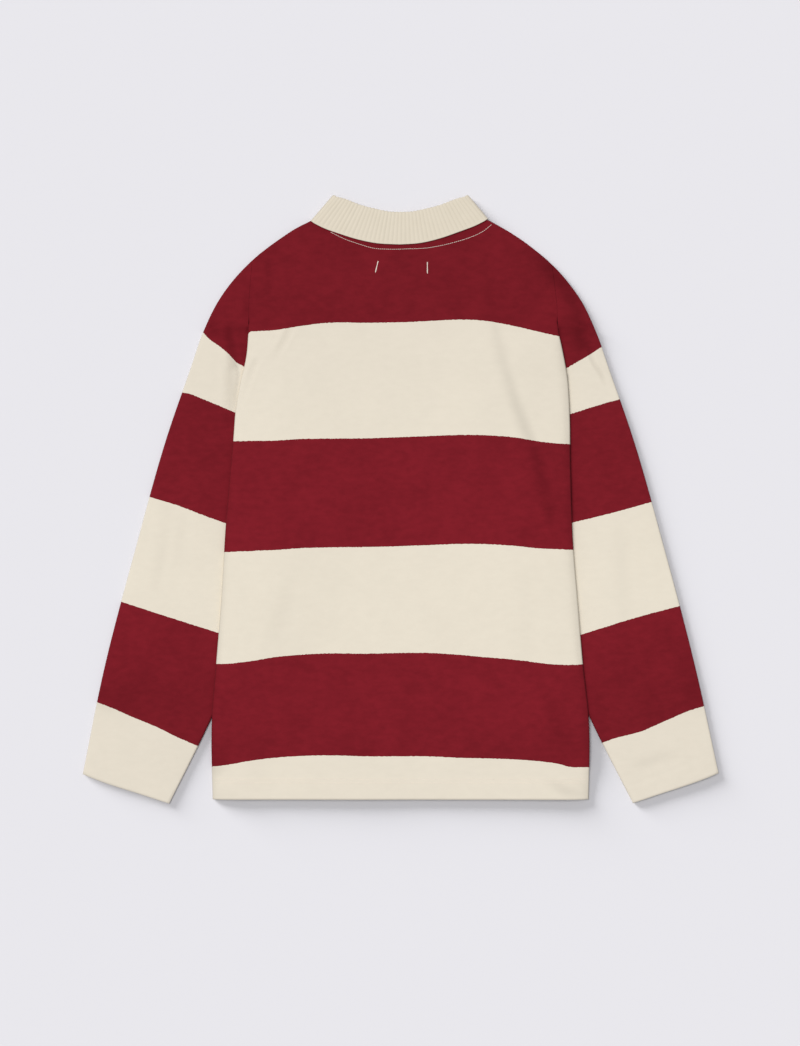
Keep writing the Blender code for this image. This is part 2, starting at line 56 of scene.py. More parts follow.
# Painted shade along the back's side edges: darker share, its length and its top end.
SIDE_EDGE_SHADE = {"left": (0.18, 3.0, 20.0), "right": (0.26, 2.8, 192.0)}
HEM_STEP = 0.45         # how far the turned-up hem stands over the single cloth
HEM_WALL = 0.6          # what the turned-up hem adds to the wall
SEAM_GAP = 0.03
SHOULDER_EASE = 0.1
PLY = 5.0               # between the outer faces of the lower and upper cloth
EDGE_GAP = 0.12         # the side seam, closed
ROLL_RADIUS = (PLY - EDGE_GAP) / 2
ROLL_LENGTH = ROLL_RADIUS * np.pi / 2
FOLD_RADIUS = PLY / 2
OVER_SLEEVE = 5.9
OVER_LEAF = 2.2
OVER_PLACKET = 4.1
MARGIN = 16.0           # how far past what lifts it the cloth stays up
SLOPE = 28.0            # and over what length it then comes down
BACK_SLOPE = 95.0       # the same for the back, which spans the dips
BACK_LOOSE = 4.4        # how high the slack back lies
BACK_LOOSE_FROM = -190  # it is flat below this y, and full this far above it
BACK_LOOSE_LENGTH = 300
SLEEVE_SWELL = 1.6      # how far the sleeve's upper wall swells

COLLAR_WALL = 1.7
COLLAR_MIDDLE = OVER_LEAF + PLY / 2
COLLAR_FOLD = 2.0
COLLAR_FOLD_LEVEL = COLLAR_MIDDLE - COLLAR_FOLD
RIB_COUNT = 39
RIB_HEIGHT = 0.7

PLACKET_WIDTH = 30.0
PLACKET_LENGTH = 133.0
PLACKET_TOP = 258.4
PLACKET_LEVEL = 2.3
PLACKET_WALL = 1.4
PLACKET_SEAM = 2.2      # its stitching, from its edges
BUTTONS_Y = (242.4, 197.4, 152.4)
BUTTON_HOLE = 1.06      # each hole's x and y from the button's middle

# Outlines: x, y from the hem up, from the armhole in, or from the shoulder down.
SIDE = {
    "left": [
        (-225.6, -360), (-226.1, -262), (-221, -197), (-214.8, -120),
        (-209.3, -29), (-200.4, 71), (-197.2, 110), (-191.6, 142),
        (-185.2, 169), (-182.4, 201), (-181.6, 240), (-178, 286.9)],
    "right": [
        (225.8, -360), (225.8, -265), (218.7, -199), (212, -118),
        (207.2, -60), (203.6, 40), (202.6, 105), (199.9, 146),
        (193.9, 180), (189.4, 201), (187, 240), (181.8, 281.8)],
}
# Painted shadow on the sleeve where the body's right side lies on it: y, share.
EDGE_SHADOW = np.array([(-280, 0), (-262, 0.3), (-190, 0.4), (-120, 0.25),
                        (-40, 0.3), (0, 0.6), (185, 0.6), (204, 0)])
SHOULDER = {
    "left": [(-178, 286.9), (-172.8, 291.7), (-165, 298), (-146, 312),
             (-123.8, 326.2), (-112.4, 331.8), (-106.4, 334.5), (-101, 335), (-94.2, 333.4)],
    "right": [(181.8, 281.8), (176.7, 286.8), (163.3, 298), (144, 312.5),
              (122, 326), (110.6, 332.2), (104.6, 335), (100, 335.4), (94.2, 333.4)],
}
BACK_NECK_DEPTH = 23.4
FRONT_NECK_DEPTH = 72.6
HEAD_LEAVES = 206.0     # the sleeve's head leaves the body's side at this height
HIDDEN_HEAD = {
    "left": [(-172, 186), (-140, 136), (-98.4, 85.2)],
    "right": [(177, 186), (142, 136), (98.4, 85.2)],
}
SLEEVE_OUTER = {
    "left": [(-178, 286.9), (-183, 282.2), (-202.4, 261.2), (-218, 239.4),
             (-235.6, 204.2), (-252.9, 154.8), (-278, 82.8), (-318.7, -61),
             (-356.2, -205), (-381.6, -330)],
    "right": [(181.8, 281.8), (186.8, 277), (201, 260.8), (216.6, 239),
              (234.2, 202.6), (251.1, 154.8), (276.2, 82.8), (317.4, -61),
              (354.8, -205), (382, -328.8)],
}
SLEEVE_INNER = {
    "left": [(-98.4, 85.2), (-155, -85), (-226.1, -260.9), (-277.8, -365.4)],
    "right": [(98.4, 85.2), (155, -85), (226.9, -261.4), (279, -364.8)],
}
SLEEVE_SEED = {"left": 11, "right": 12}
CUFF = {
    "left": [(-381.6, -330), (-360, -338.2), (-302, -357.2), (-277.8, -365.4)],
    "right": [(382, -328.8), (360, -337.2), (302, -356.8), (279, -364.8)],
}

# Collar lines on its right half, x and y, from the side to the middle.
COLLAR_SIDE_FOLD = (80.6, 365.6)
COLLAR_SIDE_FREE = (106.2, 334)
COLLAR_SWAY = -1.4      # the free edge lies this far to the left
COLLAR_TILT = 2.7       # and this much higher at its right end
BACK_FOLD = [(66, 359.8), (54, 354.8), (43, 351.3), (29, 347.9), (15, 345),
             (0, 344.2)]
BACK_FREE = [(92.2, 325.8), (70.6, 317.9), (49, 311.3), (27.4, 307), (0, 305.4)]
FRONT_FOLD = [(60, 336), (36, 308), (14.4, 291)]
FRONT_FREE = [(96, 300), (68, 264), (40, 243)]

# The five stripe edges of the body, from the top: x, then the five heights.
# The cloth is burgundy above the first and cream below the last.
BODY_STRIPES = np.array([
    (-221, 200, 69.7, -63.5, -197.2, -320),
    (-208, 200.2, 69.7, -63.2, -196.9, -318.4),
    (-183.5, 196.2, 69.8, -62.2, -194.2, -313.8),
    (-181.5, 199.4, 69.8, -62.2, -194, -313.5),
    (-178.5, 200.9, 69.8, -62.1, -193.6, -313.1),
    (-174, 201.2, 69.8, -61.7, -192.9, -312.5),
    (-150, 202.7, 70.2, -60.7, -188.9, -309.7),
    (-120, 207.5, 72.1, -58.6, -186.2, -307.8),
    (-91, 211.1, 72.5, -57.8, -184.8, -307),
    (-36, 211.5, 73.1, -57.1, -185, -308.1),
    (0, 212.1, 74.3, -56.2, -184.1, -308),
    (36, 213.8, 75.8, -54.8, -184.2, -308.2),
    (70, 215.3, 76.8, -53.5, -186.4, -309.9),
    (95, 214.5, 76.7, -53.5, -188.7, -310.4),
    (139, 206.8, 73.6, -56, -192.4, -311.9),
    (168, 200, 68.9, -58.9, -196, -314),
    (188, 195.6, 66.8, -59.7, -198, -316.6),
    (204, 193, 66, -60.5, -198.2, -320.8),
    (221, 192, 65, -61, -197.6, -321.1),
])
# The five stripe edges of each sleeve, from the shoulder down, each as points
# x, y from the outer edge inwards.
SLEEVE_STRIPES = {
    "left": [
        [(-234.6, 197.5), (-230.2, 192.8), (-216, 182.4), (-205.2, 173), (-198.6, 165.5),
         (-187.2, 158.8)],
        [(-263, 128.6), (-254, 127), (-236, 120.1), (-214, 111.1), (-198, 104.2)],
        [(-301.2, 3), (-264, -8.6), (-236, -19.4), (-208.8, -29.2)],
        [(-333.6, -123.4), (-288, -138), (-220.8, -159.6)],
        [(-363.6, -243.8), (-344.4, -251.1), (-322.8, -260.7), (-290.4, -274.1),
         (-268.8, -284.9), (-243.6, -296)]],
    "right": [
        [(241.8, 183), (228, 173.6), (204, 159.6)],
        [(265, 120.9), (250, 117.1), (238, 113.6), (204, 103)],
        [(300, -3.6), (252, -16.8), (211.2, -26.8)],
        [(336, -127.8), (288, -140.3), (216, -162.6)],
        [(364.8, -248), (344.8, -254.3), (323.2, -263.5), (306, -271.1),
         (290.9, -277.7), (272, -283.1), (258.6, -286.3), (242.4, -292.2)]],
}

# Painted light: how much lighter the cloth is drawn, 0 to 1, from the hem or cuff up: y, share.
BODY_PAINTED_LIGHT = np.array([(-360, 0.45), (-320, 0.6), (-250, 1), (30, 0.95),
                     (80, 0.75), (150, 0.35), (230, 0.08), (340, 0.08)])
SLEEVE_PAINTED_LIGHT = np.array([(-360, 0), (-270, 0.1), (-190, 0.62), (-100, 1),
                       (0, 0.7), (60, 0.4), (150, 0.25), (290, 0.2)])

# Folds and dents. Each is a line of x, y and strength from 0 to 1, then the
# trough's depth and half width at full strength, and the share by which the
# cloth there is painted darker, painted shade in the trough.
BODY_FOLDS = [
    ([(-129, 209, 0.3), (-134, 200, 1), (-141, 186, 0.9), (-152, 168, 0)], 1.3, 3.6, 0.06),
    ([(-171, 170, 0), (-175, 163, 1), (-182, 146, 0.9), (-191, 116, 0)], 1.3, 4, 0.05),
    ([(100, 305, 0), (104, 270, 0.4), (109, 232, 0.3), (115, 200, 0.4), (122, 170, 0.5),
      (132, 135, 0.6), (142, 105, 0.8), (152, 80, 0.9), (160, 60, 0.8), (168, 35, 1),
      (173, 10, 1), (179, -15, 0.9), (188, -45, 0)], 1.3, 7, 0.16),
    ([(178, -14, 0.6), (188, -6, 0.5), (199, -2, 0.2)], 0.5, 6, 0.08),
    ([(163, -218, 0), (175, -238, 0.5), (186, -257, 1), (191, -278, 0.9), (203, -310, 0)],
     0.9, 8, 0.08),
    ([(172, -332, 0), (185, -342, 0.7), (201, -351, 1), (214, -355, 0.7)], 0.7, 6, 0.08),
    ([(144, -80, 0), (149, -120, 0.8), (152, -160, 1), (154, -196, 0.7)], 0.4, 12, 0.02),
    ([(-128, -80, 0), (-134, -115, 0.8), (-144, -160, 1), (-150, -200, 0.4)], 0.4, 11, 0.022),
    ([(-224, -324, 1), (-214, -325, 0.8), (-203, -327, 0)], 0.3, 6, 0.05),
    ([(-216, -355, 1), (-202, -354, 0.8), (-188, -353, 0)], 0.3, 7, 0.03),
    ([(-208, -287, 0.6), (-198, -290, 1), (-190, -294, 0.6)], 0.3, 12, 0.04),
    ([(-160, 287, 0.8), (-158, 272, 1)], 0.5, 4.2, 0.12),
    ([(-140, 289, 0.9), (-135, 289, 1)], 0.5, 4.2, 0.12),
    ([(-168, 246, 0.7), (-160, 249, 1), (-157, 262, 0.5)], 0.5, 4.6, 0.10),
]
SEAM_FOLDS = [          # across the armhole seams, so on back and sleeves
    ([(-184, 241, 0.8), (-184, 230, 1), (-184, 215, 0.4)], 0.4, 4.6, 0.12),
    ([(150, 300, 0.2), (169, 288, 0.8), (185, 271, 1), (198, 256, 1), (207, 238, 0.9),
      (211, 221, 0.8), (214, 203, 0.9), (217, 188, 1)], 0.3, 11, 0.27),
]
SLEEVE_FOLDS = {
    "left": [
        ([(-207, 214, 0.2), (-205, 200, 1), (-202, 180, 0.9), (-199, 160, 0.8)], 1.5, 4.6, 0.16),
        ([(-203, 168, 0.2), (-203, 152, 1), (-202, 135, 1), (-203, 108, 0.7),
          (-204, 80, 0)], 1.2, 6, 0.11),
        ([(-199.5, 167, 0.5), (-196.6, 158, 1), (-195.5, 146, 1), (-197.5, 131, 0.8),
          (-199, 112, 0.2)], 0.9, 1.5, 0.14),
        ([(-278, 0, 0.6), (-282, -40, 0.8), (-287, -75, 1), (-295, -120, 0.2)], 0.5, 7, 0.035),
        ([(-260, -10, 0.2), (-264, -50, 1), (-269, -95, 0)], 0.4, 8, 0.02),
        ([(-360, -236, 1), (-345, -238, 1), (-325, -232, 0.9), (-312, -226, 0.5)],
         0.3, 15, 0.14),
        ([(-322, -250, 0.8), (-308, -254, 0.8), (-298, -256, 0)], 0.3, 9, 0.08)],
    "right": [
        ([(227, 179, 0.7), (230, 168, 1), (234, 160, 1), (241, 150, 0.9), (248, 134, 0)],
         1.1, 2.6, 0.09),
        ([(241, 180, 0.6), (243, 172, 0.2)], 0.4, 2.6, 0.06),
        ([(265, -25, 0.3), (268, -60, 1), (269, -110, 0.7), (270, -150, 0.8)], 0.4, 9, 0.028),
        ([(322, -150, 0.3), (334, -175, 0.8), (345, -205, 1), (354, -240, 1)], 0.3, 15, 0.09),
        ([(299, -222, 0.3), (300, -236, 1), (301, -246, 0.3)], 0.3, 6, 0.07),
        ([(278, -320, 0.2), (292, -317, 1), (314, -311, 1), (338, -305, 0.1)], 0.7, 6.5, 0.05)],
}
HIDDEN_FOLDS = [        # on the faces that lie down: shallow, none is seen
    ([(-120, 190, 0), (-132, 150, 1), (-150, 118, 0)], 0.5, 6, 0.03),
    ([(120, 160, 0), (136, 110, 1), (140, 60, 0)], 0.5, 7, 0.03),
    ([(-60, -240, 0), (-20, -262, 1), (30, -268, 0)], 0.3, 8, 0.02),
    ([(-292, -70, 0), (-270, -110, 1), (-262, -160, 0)], 0.3, 7, 0.02),
    ([(290, -40, 0), (276, -90, 1), (281, -140, 0)], 0.3, 7, 0.02),
]

# Threads, all cream. The neck's topstitch as x, y from its left end, and the
# two bar tacks below it from top to bottom.
NECK_STITCH = [(-84, 320.5), (-64.8, 311.3), (-48, 305.6), (-32.4, 301.2),
               (-14.4, 300), (10.8, 300.4), (31.2, 301.4), (49.8, 304.6), (66.7, 308.8),
               (86.9, 315.5), (100.3, 322.2), (109.4, 329.6)]
TACKS = [[(-26.8, 285.5), (-30.1, 271.7)], [(32.2, 284.3), (32.2, 270.4)]]
THREAD = 0.27           # the thread's radius


# ---- lines and grids
def stretches(line):
    """The length of each straight stretch of a line of points."""
    return np.linalg.norm(np.diff(line, axis=0), axis=1)


def cubic(rows, slope, k, t, h):
    """The smooth line between rows k and k + 1, t of the way over a stretch h."""
    return (rows[k] * (1 + 2 * t) * (1 - t) ** 2 + slope[k] * h * t * (1 - t) ** 2
            + rows[k + 1] * t ** 2 * (3 - 2 * t) + slope[k + 1] * h * t ** 2 * (t - 1))


def curve(rows, share):
    """Points on the smooth line through the rows, at shares of its length.

    Each stretch is a cubic whose end slopes are the mean of its neighbours'
    slopes, weighted by their lengths.
    """
    rows = np.asarray(rows, float)
    length = np.r_[0, np.cumsum(stretches(rows))]
    along = length / length[-1]
    step = np.diff(along)
    slope = np.diff(rows, axis=0) / step[:, None]
    inner = (slope[:-1] * step[1:, None] + slope[1:] * step[:-1, None]) / (
        step[:-1] + step[1:])[:, None]
    tangent = np.vstack([slope[:1], inner, slope[-1:]])
    share = np.asarray(share, float)
    k = np.clip(np.searchsorted(along, share, side="right") - 1, 0, len(rows) - 2)
    t = ((share - along[k]) / step[k])[..., None]
    return cubic(rows, tangent, k, t, step[k][..., None])


def even_curve(rows, count):
    return curve(rows, np.linspace(0, 1, count))


def lifted(plan, height):
    """Plan points with their heights as z."""
    return np.concatenate([plan, height[..., None]], -1)


def unit(vector):
    return vector / np.maximum(np.linalg.norm(vector, axis=-1, keepdims=True), 1e-12)


def outward(points, away_from):
    """Unit normals of a flat line of points, turned away from a place."""
    run = np.gradient(points, axis=0)
    normal = unit(np.stack([run[:, 1], -run[:, 0]], -1))
    return normal * np.sign(((points - away_from) * normal).sum(1, keepdims=True))


def ease(value):
    """0 below 0, 1 above 1 and a smooth S between: 3 v^2 - 2 v^3."""
    v = np.clip(value, 0, 1)
    return v * v * (3 - 2 * v)


def patch(bottom, top, left, right, across=None):
    """A Coons patch between four lines: both rulings added, less the corners' one."""
    across = np.linspace(0, 1, len(bottom)) if across is None else across
    u = across[None, :, None]
    v = np.linspace(0, 1, len(left))[:, None, None]
    from_ends = (1 - v) * bottom[None] + v * top[None]
    from_sides = (1 - u) * left[:, None] + u * right[:, None]
    corners = ((1 - u) * (1 - v) * bottom[0] + u * (1 - v) * bottom[-1]
               + (1 - u) * v * top[0] + u * v * top[-1])
    return from_ends + from_sides - corners


def nearest(points, line):
    """Shortest distance from each point to a line of straight stretches, and
    where on the line, counted in stretches from its start."""
    line = np.asarray(line, float)
    best, place = np.full(points.shape[:-1], np.inf), np.zeros(points.shape[:-1])
    for k, (start, end) in enumerate(zip(line[:-1], line[1:])):
        run = end - start
        along = np.clip(((points - start) @ run) / max(run @ run, 1e-9), 0, 1)
        gap = np.linalg.norm(points - start - along[..., None] * run, axis=-1)
        place = np.where(gap < best, k + along, place)
        best = np.minimum(best, gap)
    return best, place


def distance(points, line):
    return nearest(points, line)[0]


def inside(points, corners):
    """Whether each point is in the polygon, by the even-odd rule."""
    crossings = np.zeros(points.shape[:-1], int)
    corners = np.asarray(corners, float)
    for a, b in zip(corners, np.roll(corners, -1, axis=0)):
        if a[1] == b[1]:
            continue
        spans = (a[1] > points[..., 1]) != (b[1] > points[..., 1])
        x = a[0] + (points[..., 1] - a[1]) / (b[1] - a[1]) * (b[0] - a[0])
        crossings += spans & (points[..., 0] < x)
    return crossings % 2 == 1


# ---- heights
def sleeve_head(side, share):
    """The head line from the shoulder: the body's own side line, then the hidden rows."""
    line = even_curve(SIDE[side], 200)
    seam = line[line[:, 1] >= HEAD_LEAVES][::-1]
    spaced = np.linspace(0, len(seam) - 1, 16).astype(int)
    return curve(np.vstack([seam[spaced], HIDDEN_HEAD[side]]), share)


def hidden_line(side):
    """The sleeve's edge under the body: its head from the seam's end, then inwards."""
    head = sleeve_head(side, np.linspace(0, 1, 41))
    inner = even_curve(SLEEVE_INNER[side], 25)
    return np.vstack([head[head[:, 1] <= HEAD_LEAVES + 3], inner[1:]])


def leaf_outline(sign):
    rows = [COLLAR_SIDE_FOLD, COLLAR_SIDE_FREE] + FRONT_FREE + [FRONT_FOLD[-1]]
    return np.array(rows) * (sign, 1)


def near(gap, slope=SLOPE):
    """1 up to the margin from what lifts the cloth, then down the slope to 0."""
    return ease((MARGIN + slope - gap) / slope)


def over_sleeves(points, slope):
    """Share of the full lift over both sleeves, as the cube-sum of the two."""
    lift = 0
    for side, sign in SIGN.items():
        line = hidden_line(side)
        far = [(sign * 600.0, line[-1, 1]), (sign * 600.0, line[0, 1])]
        over = inside(points, np.vstack([line, far]))
        lift += np.where(over, 1, near(distance(points, line), slope)) ** 3
    return np.cbrt(lift)


def carried_height(points):
    """How high the body's underside is carried: the cube-sum of each piece's lift."""
    total = (OVER_SLEEVE * over_sleeves(points, SLOPE)) ** 3
    for sign in SIGN.values():
        leaf = leaf_outline(sign)
        gap = distance(points, np.vstack([leaf, leaf[:1]]))
        total += (OVER_LEAF * np.where(inside(points, leaf), 1, near(gap))) ** 3 / 2
    x, y = np.abs(points[..., 0]), points[..., 1]
    away = np.stack([x - PLACKET_WIDTH / 2,
                     np.maximum(y - PLACKET_TOP - 2, PLACKET_TOP - PLACKET_LENGTH - y)], -1)
    gap = np.linalg.norm(np.maximum(away, 0), axis=-1)
    return np.cbrt(total + (OVER_PLACKET * near(gap)) ** 3)


def side_distance(side, points):
    return distance(points, even_curve(SIDE[side], 24))


def edge_distance(points):
    """Distance to the body's sides and shoulders, the hem left out."""
    return np.min([distance(points, np.vstack([even_curve(SIDE[side], 24),
                                               even_curve(SHOULDER[side], 8)]))
                   for side in SIDE], axis=0)


def neck_line(depth, x):
    """The neckline: a parabola between the two ends of the shoulder seams."""
    end_x, end_y = SHOULDER["right"][-1]
    return np.stack([x, end_y - depth * (1 - (x / end_x) ** 2)], -1)


def soft_waves(points, seed, size):
    """Slack in laid cloth: six sine waves of 90 to 260 mm in fixed directions."""
    random = np.random.default_rng(seed)
    height = np.zeros(points.shape[:-1])
    for length in (90, 115, 140, 170, 210, 260):
        angle, phase = random.uniform(0, np.pi), random.uniform(0, 2 * np.pi)
        along = points[..., 0] * np.cos(angle) + points[..., 1] * np.sin(angle)
        height += np.sin(2 * np.pi * along / length + phase) * length / 260
    return height * size / 3


def fold_marks(points, folds):
    """The folds' height and painted shade at each point.

    A trough is a bell across the line, with a low ridge on both sides; the
    painted shade is 1 less the same bell times the fold's share.
    """
    height, shade = np.zeros(points.shape[:-1]), np.ones(points.shape[:-1])
    for rows, depth, width, darker in folds:
        line = even_curve(rows, 14)
        gap, place = nearest(points, line[:, :2])
        strength = np.interp(place, np.arange(14), np.clip(line[:, 2], 0, 1))
        gap = gap / width
        trough = np.exp(-gap ** 2)
        height += depth * strength * (0.4 * np.exp(-((gap - 1.9) / 0.8) ** 2) - trough)
        shade *= 1 - darker * strength * trough
    return height, shade


def hem_share(from_rim):
    """1 on the turned-up hem and 0 past it, by the distance from its rim."""
    return ease(0.5 - (from_rim - HEM_DEPTH) / 2.5)


def body_hem(points):
    return hem_share(points[..., 1] - SIDE["left"][0][1])


def seam_dip(gap):
    """How far the cloth sinks by a seam, within about 2 mm of it."""
    return SEAM_DIP * np.exp(-(gap / 1.1) ** 2)


def side_shape(points):
    """The back's height along its side lines: a dip at the armhole seams, and
    below them a crown that rises by 1 - e^(-gap / length) from the rolled edge."""
    x, y = points[..., 0], points[..., 1]
    crown, dip = 0.0, 0.0
    for side, (rise, length) in SIDE_CROWN.items():
        gap, share = side_distance(side, points), ease(0.5 + SIGN[side] * x / 200)
        crown += share * rise * (1 - np.exp(-np.maximum(gap - ROLL_RADIUS, 0) / length))
        dip += seam_dip(gap)
    return (crown * ease((HEAD_LEAVES - y) / 40)
            - dip * ease((y - HEAD_LEAVES) / 20))


def side_edge_shade(points):
    """Painted shade along the back's side edges: 1 - share e^(-gap / length)."""
    shade = np.ones(points.shape[:-1])
    for side, (share, length, top) in SIDE_EDGE_SHADE.items():
        gap = side_distance(side, points)
        shade *= 1 - share * np.exp(-gap / length) * ease((top - points[..., 1]) / 20 + 0.5)
    return shade


def back_height(points):
    """Outer face of the back: it spans the dips between what lifts it.

    Near its edges and the neck it keeps to the carried height, so it meets the
    front and lies under the collar. Inside, it is the larger of that and a
    plateau that falls away towards the hem.
    """
    carried = carried_height(points)
    wide = OVER_SLEEVE * over_sleeves(points, BACK_SLOPE)
    plateau = BACK_LOOSE * ease((points[..., 1] - BACK_LOOSE_FROM) / BACK_LOOSE_LENGTH)
    loose = np.cbrt(wide ** 3 + plateau ** 3 + carried ** 3 * 0.25)
    from_edge = ease(edge_distance(points) / 55)
    x = np.linspace(-94, 94, 15)
    from_neck = ease((distance(points, neck_line(BACK_NECK_DEPTH, x)) - 6) / 46)
    inner = from_edge * from_neck
    height = PLY + carried * (1 - inner) + np.maximum(loose, carried) * inner
    height += (0.9 + soft_waves(points, 4, 0.9)) * inner
    height += fold_marks(points, BODY_FOLDS)[0] * ease(edge_distance(points) / 12)
    height += fold_marks(points, SEAM_FOLDS)[0]
    return height + HEM_STEP * body_hem(points) + side_shape(points)


# ---- meshes
def grid_faces(rows, columns, offset, turned):
    """Quads of a grid of points, numbered row by row."""
    first = (np.arange(rows - 1)[:, None] * columns + np.arange(columns - 1)).ravel() + offset
    quads = np.stack([first, first + 1, first + columns + 1, first + columns], -1)
    return quads[:, ::-1] if turned else quads


def face_normals(points, closed):
    """Unit normals of a grid: the cross product of its steps along and across."""
    if closed:
        ring = np.concatenate([points[:, -2:-1], points, points[:, 1:2]], axis=1)
        across = (ring[:, 2:] - ring[:, :-2])
    else:
        across = np.gradient(points, axis=1)
    return unit(np.cross(across, np.gradient(points, axis=0)))


def new_mesh(name, points, faces):
    """A smooth-shaded mesh of points in millimetres."""
    mesh = bpy.data.meshes.new(name)
    mesh.from_pydata((points * MM).tolist(), [], faces)
    mesh.shade_smooth()
    return mesh


def shell_mesh(name, outer, wall, cloth, closed=False, **numbers):
    """A closed shell: the outer grid, its copy moved in by the wall, and the rims.

    closed says that the last column is the first again. cloth is each point's
    place on the flat cloth and numbers are named values a point, for the pattern
    and for the painted light and shade.
    """
    rows, columns = outer.shape[:2]
    thickness = np.broadcast_to(np.asarray(wall, float), (rows, columns))
    inner = outer - face_normals(outer, closed) * thickness[..., None]
    count = rows * columns
    points = np.concatenate([outer.reshape(-1, 3), inner.reshape(-1, 3)])
    index = np.arange(count).reshape(rows, columns)
    faces = [grid_faces(rows, columns, 0, False), grid_faces(rows, columns, count, True)]
    rims = [(index[0], False), (index[-1], True)]
    if not closed:
        rims += [(index[:, 0], True), (index[:, -1], False)]
    for line, turned in rims:
        quads = np.stack([line[1:], line[:-1], line[:-1] + count, line[1:] + count], -1)
        faces.append(quads[:, ::-1] if turned else quads)
    faces = np.concatenate(faces)
    kept = np.ones((2, rows, columns), bool)
    if closed:
        # The last column of both faces is the first one again.
        same = np.arange(2 * count).reshape(2, rows, columns)
        same[:, :, -1] = same[:, :, 0]
        kept[:, :, -1] = False
        faces = (np.cumsum(kept) - 1)[same.reshape(-1)[faces]]
    kept = kept.reshape(-1)

    mesh = new_mesh(name, points[kept], faces.tolist())
    for key, number in numbers.items():
        values = np.tile(number.reshape(-1), 2)[kept]
        mesh.attributes.new(key, "FLOAT", "POINT").data.foreach_set("value", values)
    values = np.tile(cloth.reshape(-1, 2), (2, 1))[kept]
    corner = np.empty(len(mesh.loops), int)
    mesh.loops.foreach_get("vertex_index", corner)
    mesh.uv_layers.new(name="cloth").data.foreach_set("uv", values[corner].ravel())
    return mesh


def new_object(name, data):
    thing = bpy.data.objects.new(name, data)
    bpy.context.scene.collection.objects.link(thing)
    return thing


def add_piece(mesh, material, replaces=()):
    """Adds a piece by its mesh's name."""
    piece = new_object(mesh.name, mesh)
    mesh.materials.append(material)
    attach(piece, BODY)
    if replaces:
        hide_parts(*replaces)
    return piece


# ---- stripes
def smooth_rows(x, stations, values):
    """Values between stations by the same smooth line, straight on past its ends."""
    k = np.clip(np.searchsorted(stations, x) - 1, 0, len(stations) - 2)
    slope = np.gradient(values, stations)
    h = stations[k + 1] - stations[k]
    t = np.clip((x - stations[k]) / h, 0, 1)
    below, above = np.minimum(x - stations[0], 0), np.maximum(x - stations[-1], 0)
    return cubic(values, slope, k, t, h) + below * slope[0] + above * slope[-1]


def stripe_number(points, edges):
    """Counts stripe edges down from the top, with the share of the way to the next.

    Each edge is given as its stations and its heights there. The first and the
    last stripe are taken as 120 mm deep.
    """
    x, y = points[..., 0], points[..., 1]
    edges = np.stack([smooth_rows(x, *rows) for rows in edges], -1)
    edges = np.concatenate([edges[..., :1] + 120, edges, edges[..., -1:] - 120], axis=-1)
    k = np.clip((y[..., None] < edges).sum(-1) - 1, 0, edges.shape[-1] - 2)
    upper = np.take_along_axis(edges, k[..., None], -1)[..., 0]
    lower = np.take_along_axis(edges, k[..., None] + 1, -1)[..., 0]
    return k + np.clip((upper - y) / (upper - lower), 0, 1)


def body_stripe(points):
    stations, *heights = BODY_STRIPES.T
    return stripe_number(points, [(stations, rows) for rows in heights])


def sleeve_stripe(side, points):
    return stripe_number(points, [np.array(sorted(rows)).T for rows in SLEEVE_STRIPES[side]])


# ---- body panels
def edge_roll(points):
    """How far a body's side edge is rolled, 0 to 1: not where it joins the sleeve."""
    return ease((HEAD_LEAVES + 14 - points[..., 1]) / 12)


def roll_profile(turn, share):
    """Reach and drop along an edge that turns through an angle over ROLL_LENGTH."""
    turn = np.maximum(turn, 1e-4)
    radius = ROLL_LENGTH / turn
    return radius * np.sin(turn * share), radius * (1 - np.cos(turn * share))


def body_side(side, share):
    """Outer and inner plan line of a body side from the hem up, and its roll's turn."""
    line = even_curve(SIDE[side], 200)
    length = stretches(line).sum()
    outer = curve(SIDE[side], share * (1 - ROLL_RADIUS / length))
    normal = outward(outer, (0.0, 0.0))
    turn = edge_roll(outer) * np.pi / 2
    outer = outer - normal * (SEAM_GAP / 2 * ease(1.5 - turn))[:, None]
    reach = roll_profile(turn, 1.0)[0]
    along = unit(np.diff(curve(SHOULDER[side], np.array([0.0, 0.05])), axis=0)[0])
    near_top = share[:, None] ** 60
    inward = unit(-normal * (1 - near_top) + along * near_top)
    stretch = 1 / np.maximum(np.abs((inward * normal).sum(1)), 0.5)
    return outer, outer + inward * (reach * stretch)[:, None], turn


def shoulder_line(side, inner_corner, seam_direction, count):
    """Inner plan line of a shoulder's roll, its direction and its turn."""
    share = np.linspace(0, 1, count)
    line = even_curve(SHOULDER[side], 400)
    first = np.argmin(np.abs(line[:, 0] - inner_corner[0])) / 399
    points = curve(SHOULDER[side], first + (1 - first) * share)
    near_corner = (1 - share[:, None]) ** 8
    direction = unit(outward(points, (0.0, 0.0)) * (1 - near_corner)
                     + seam_direction * near_corner)
    turn = (1 - ease((share - 0.7) / 0.3)) * np.pi / 2
    inner = points - direction * roll_profile(turn, 1.0)[0][:, None]
    return inner + (inner_corner - inner[0]) * near_corner, direction, turn


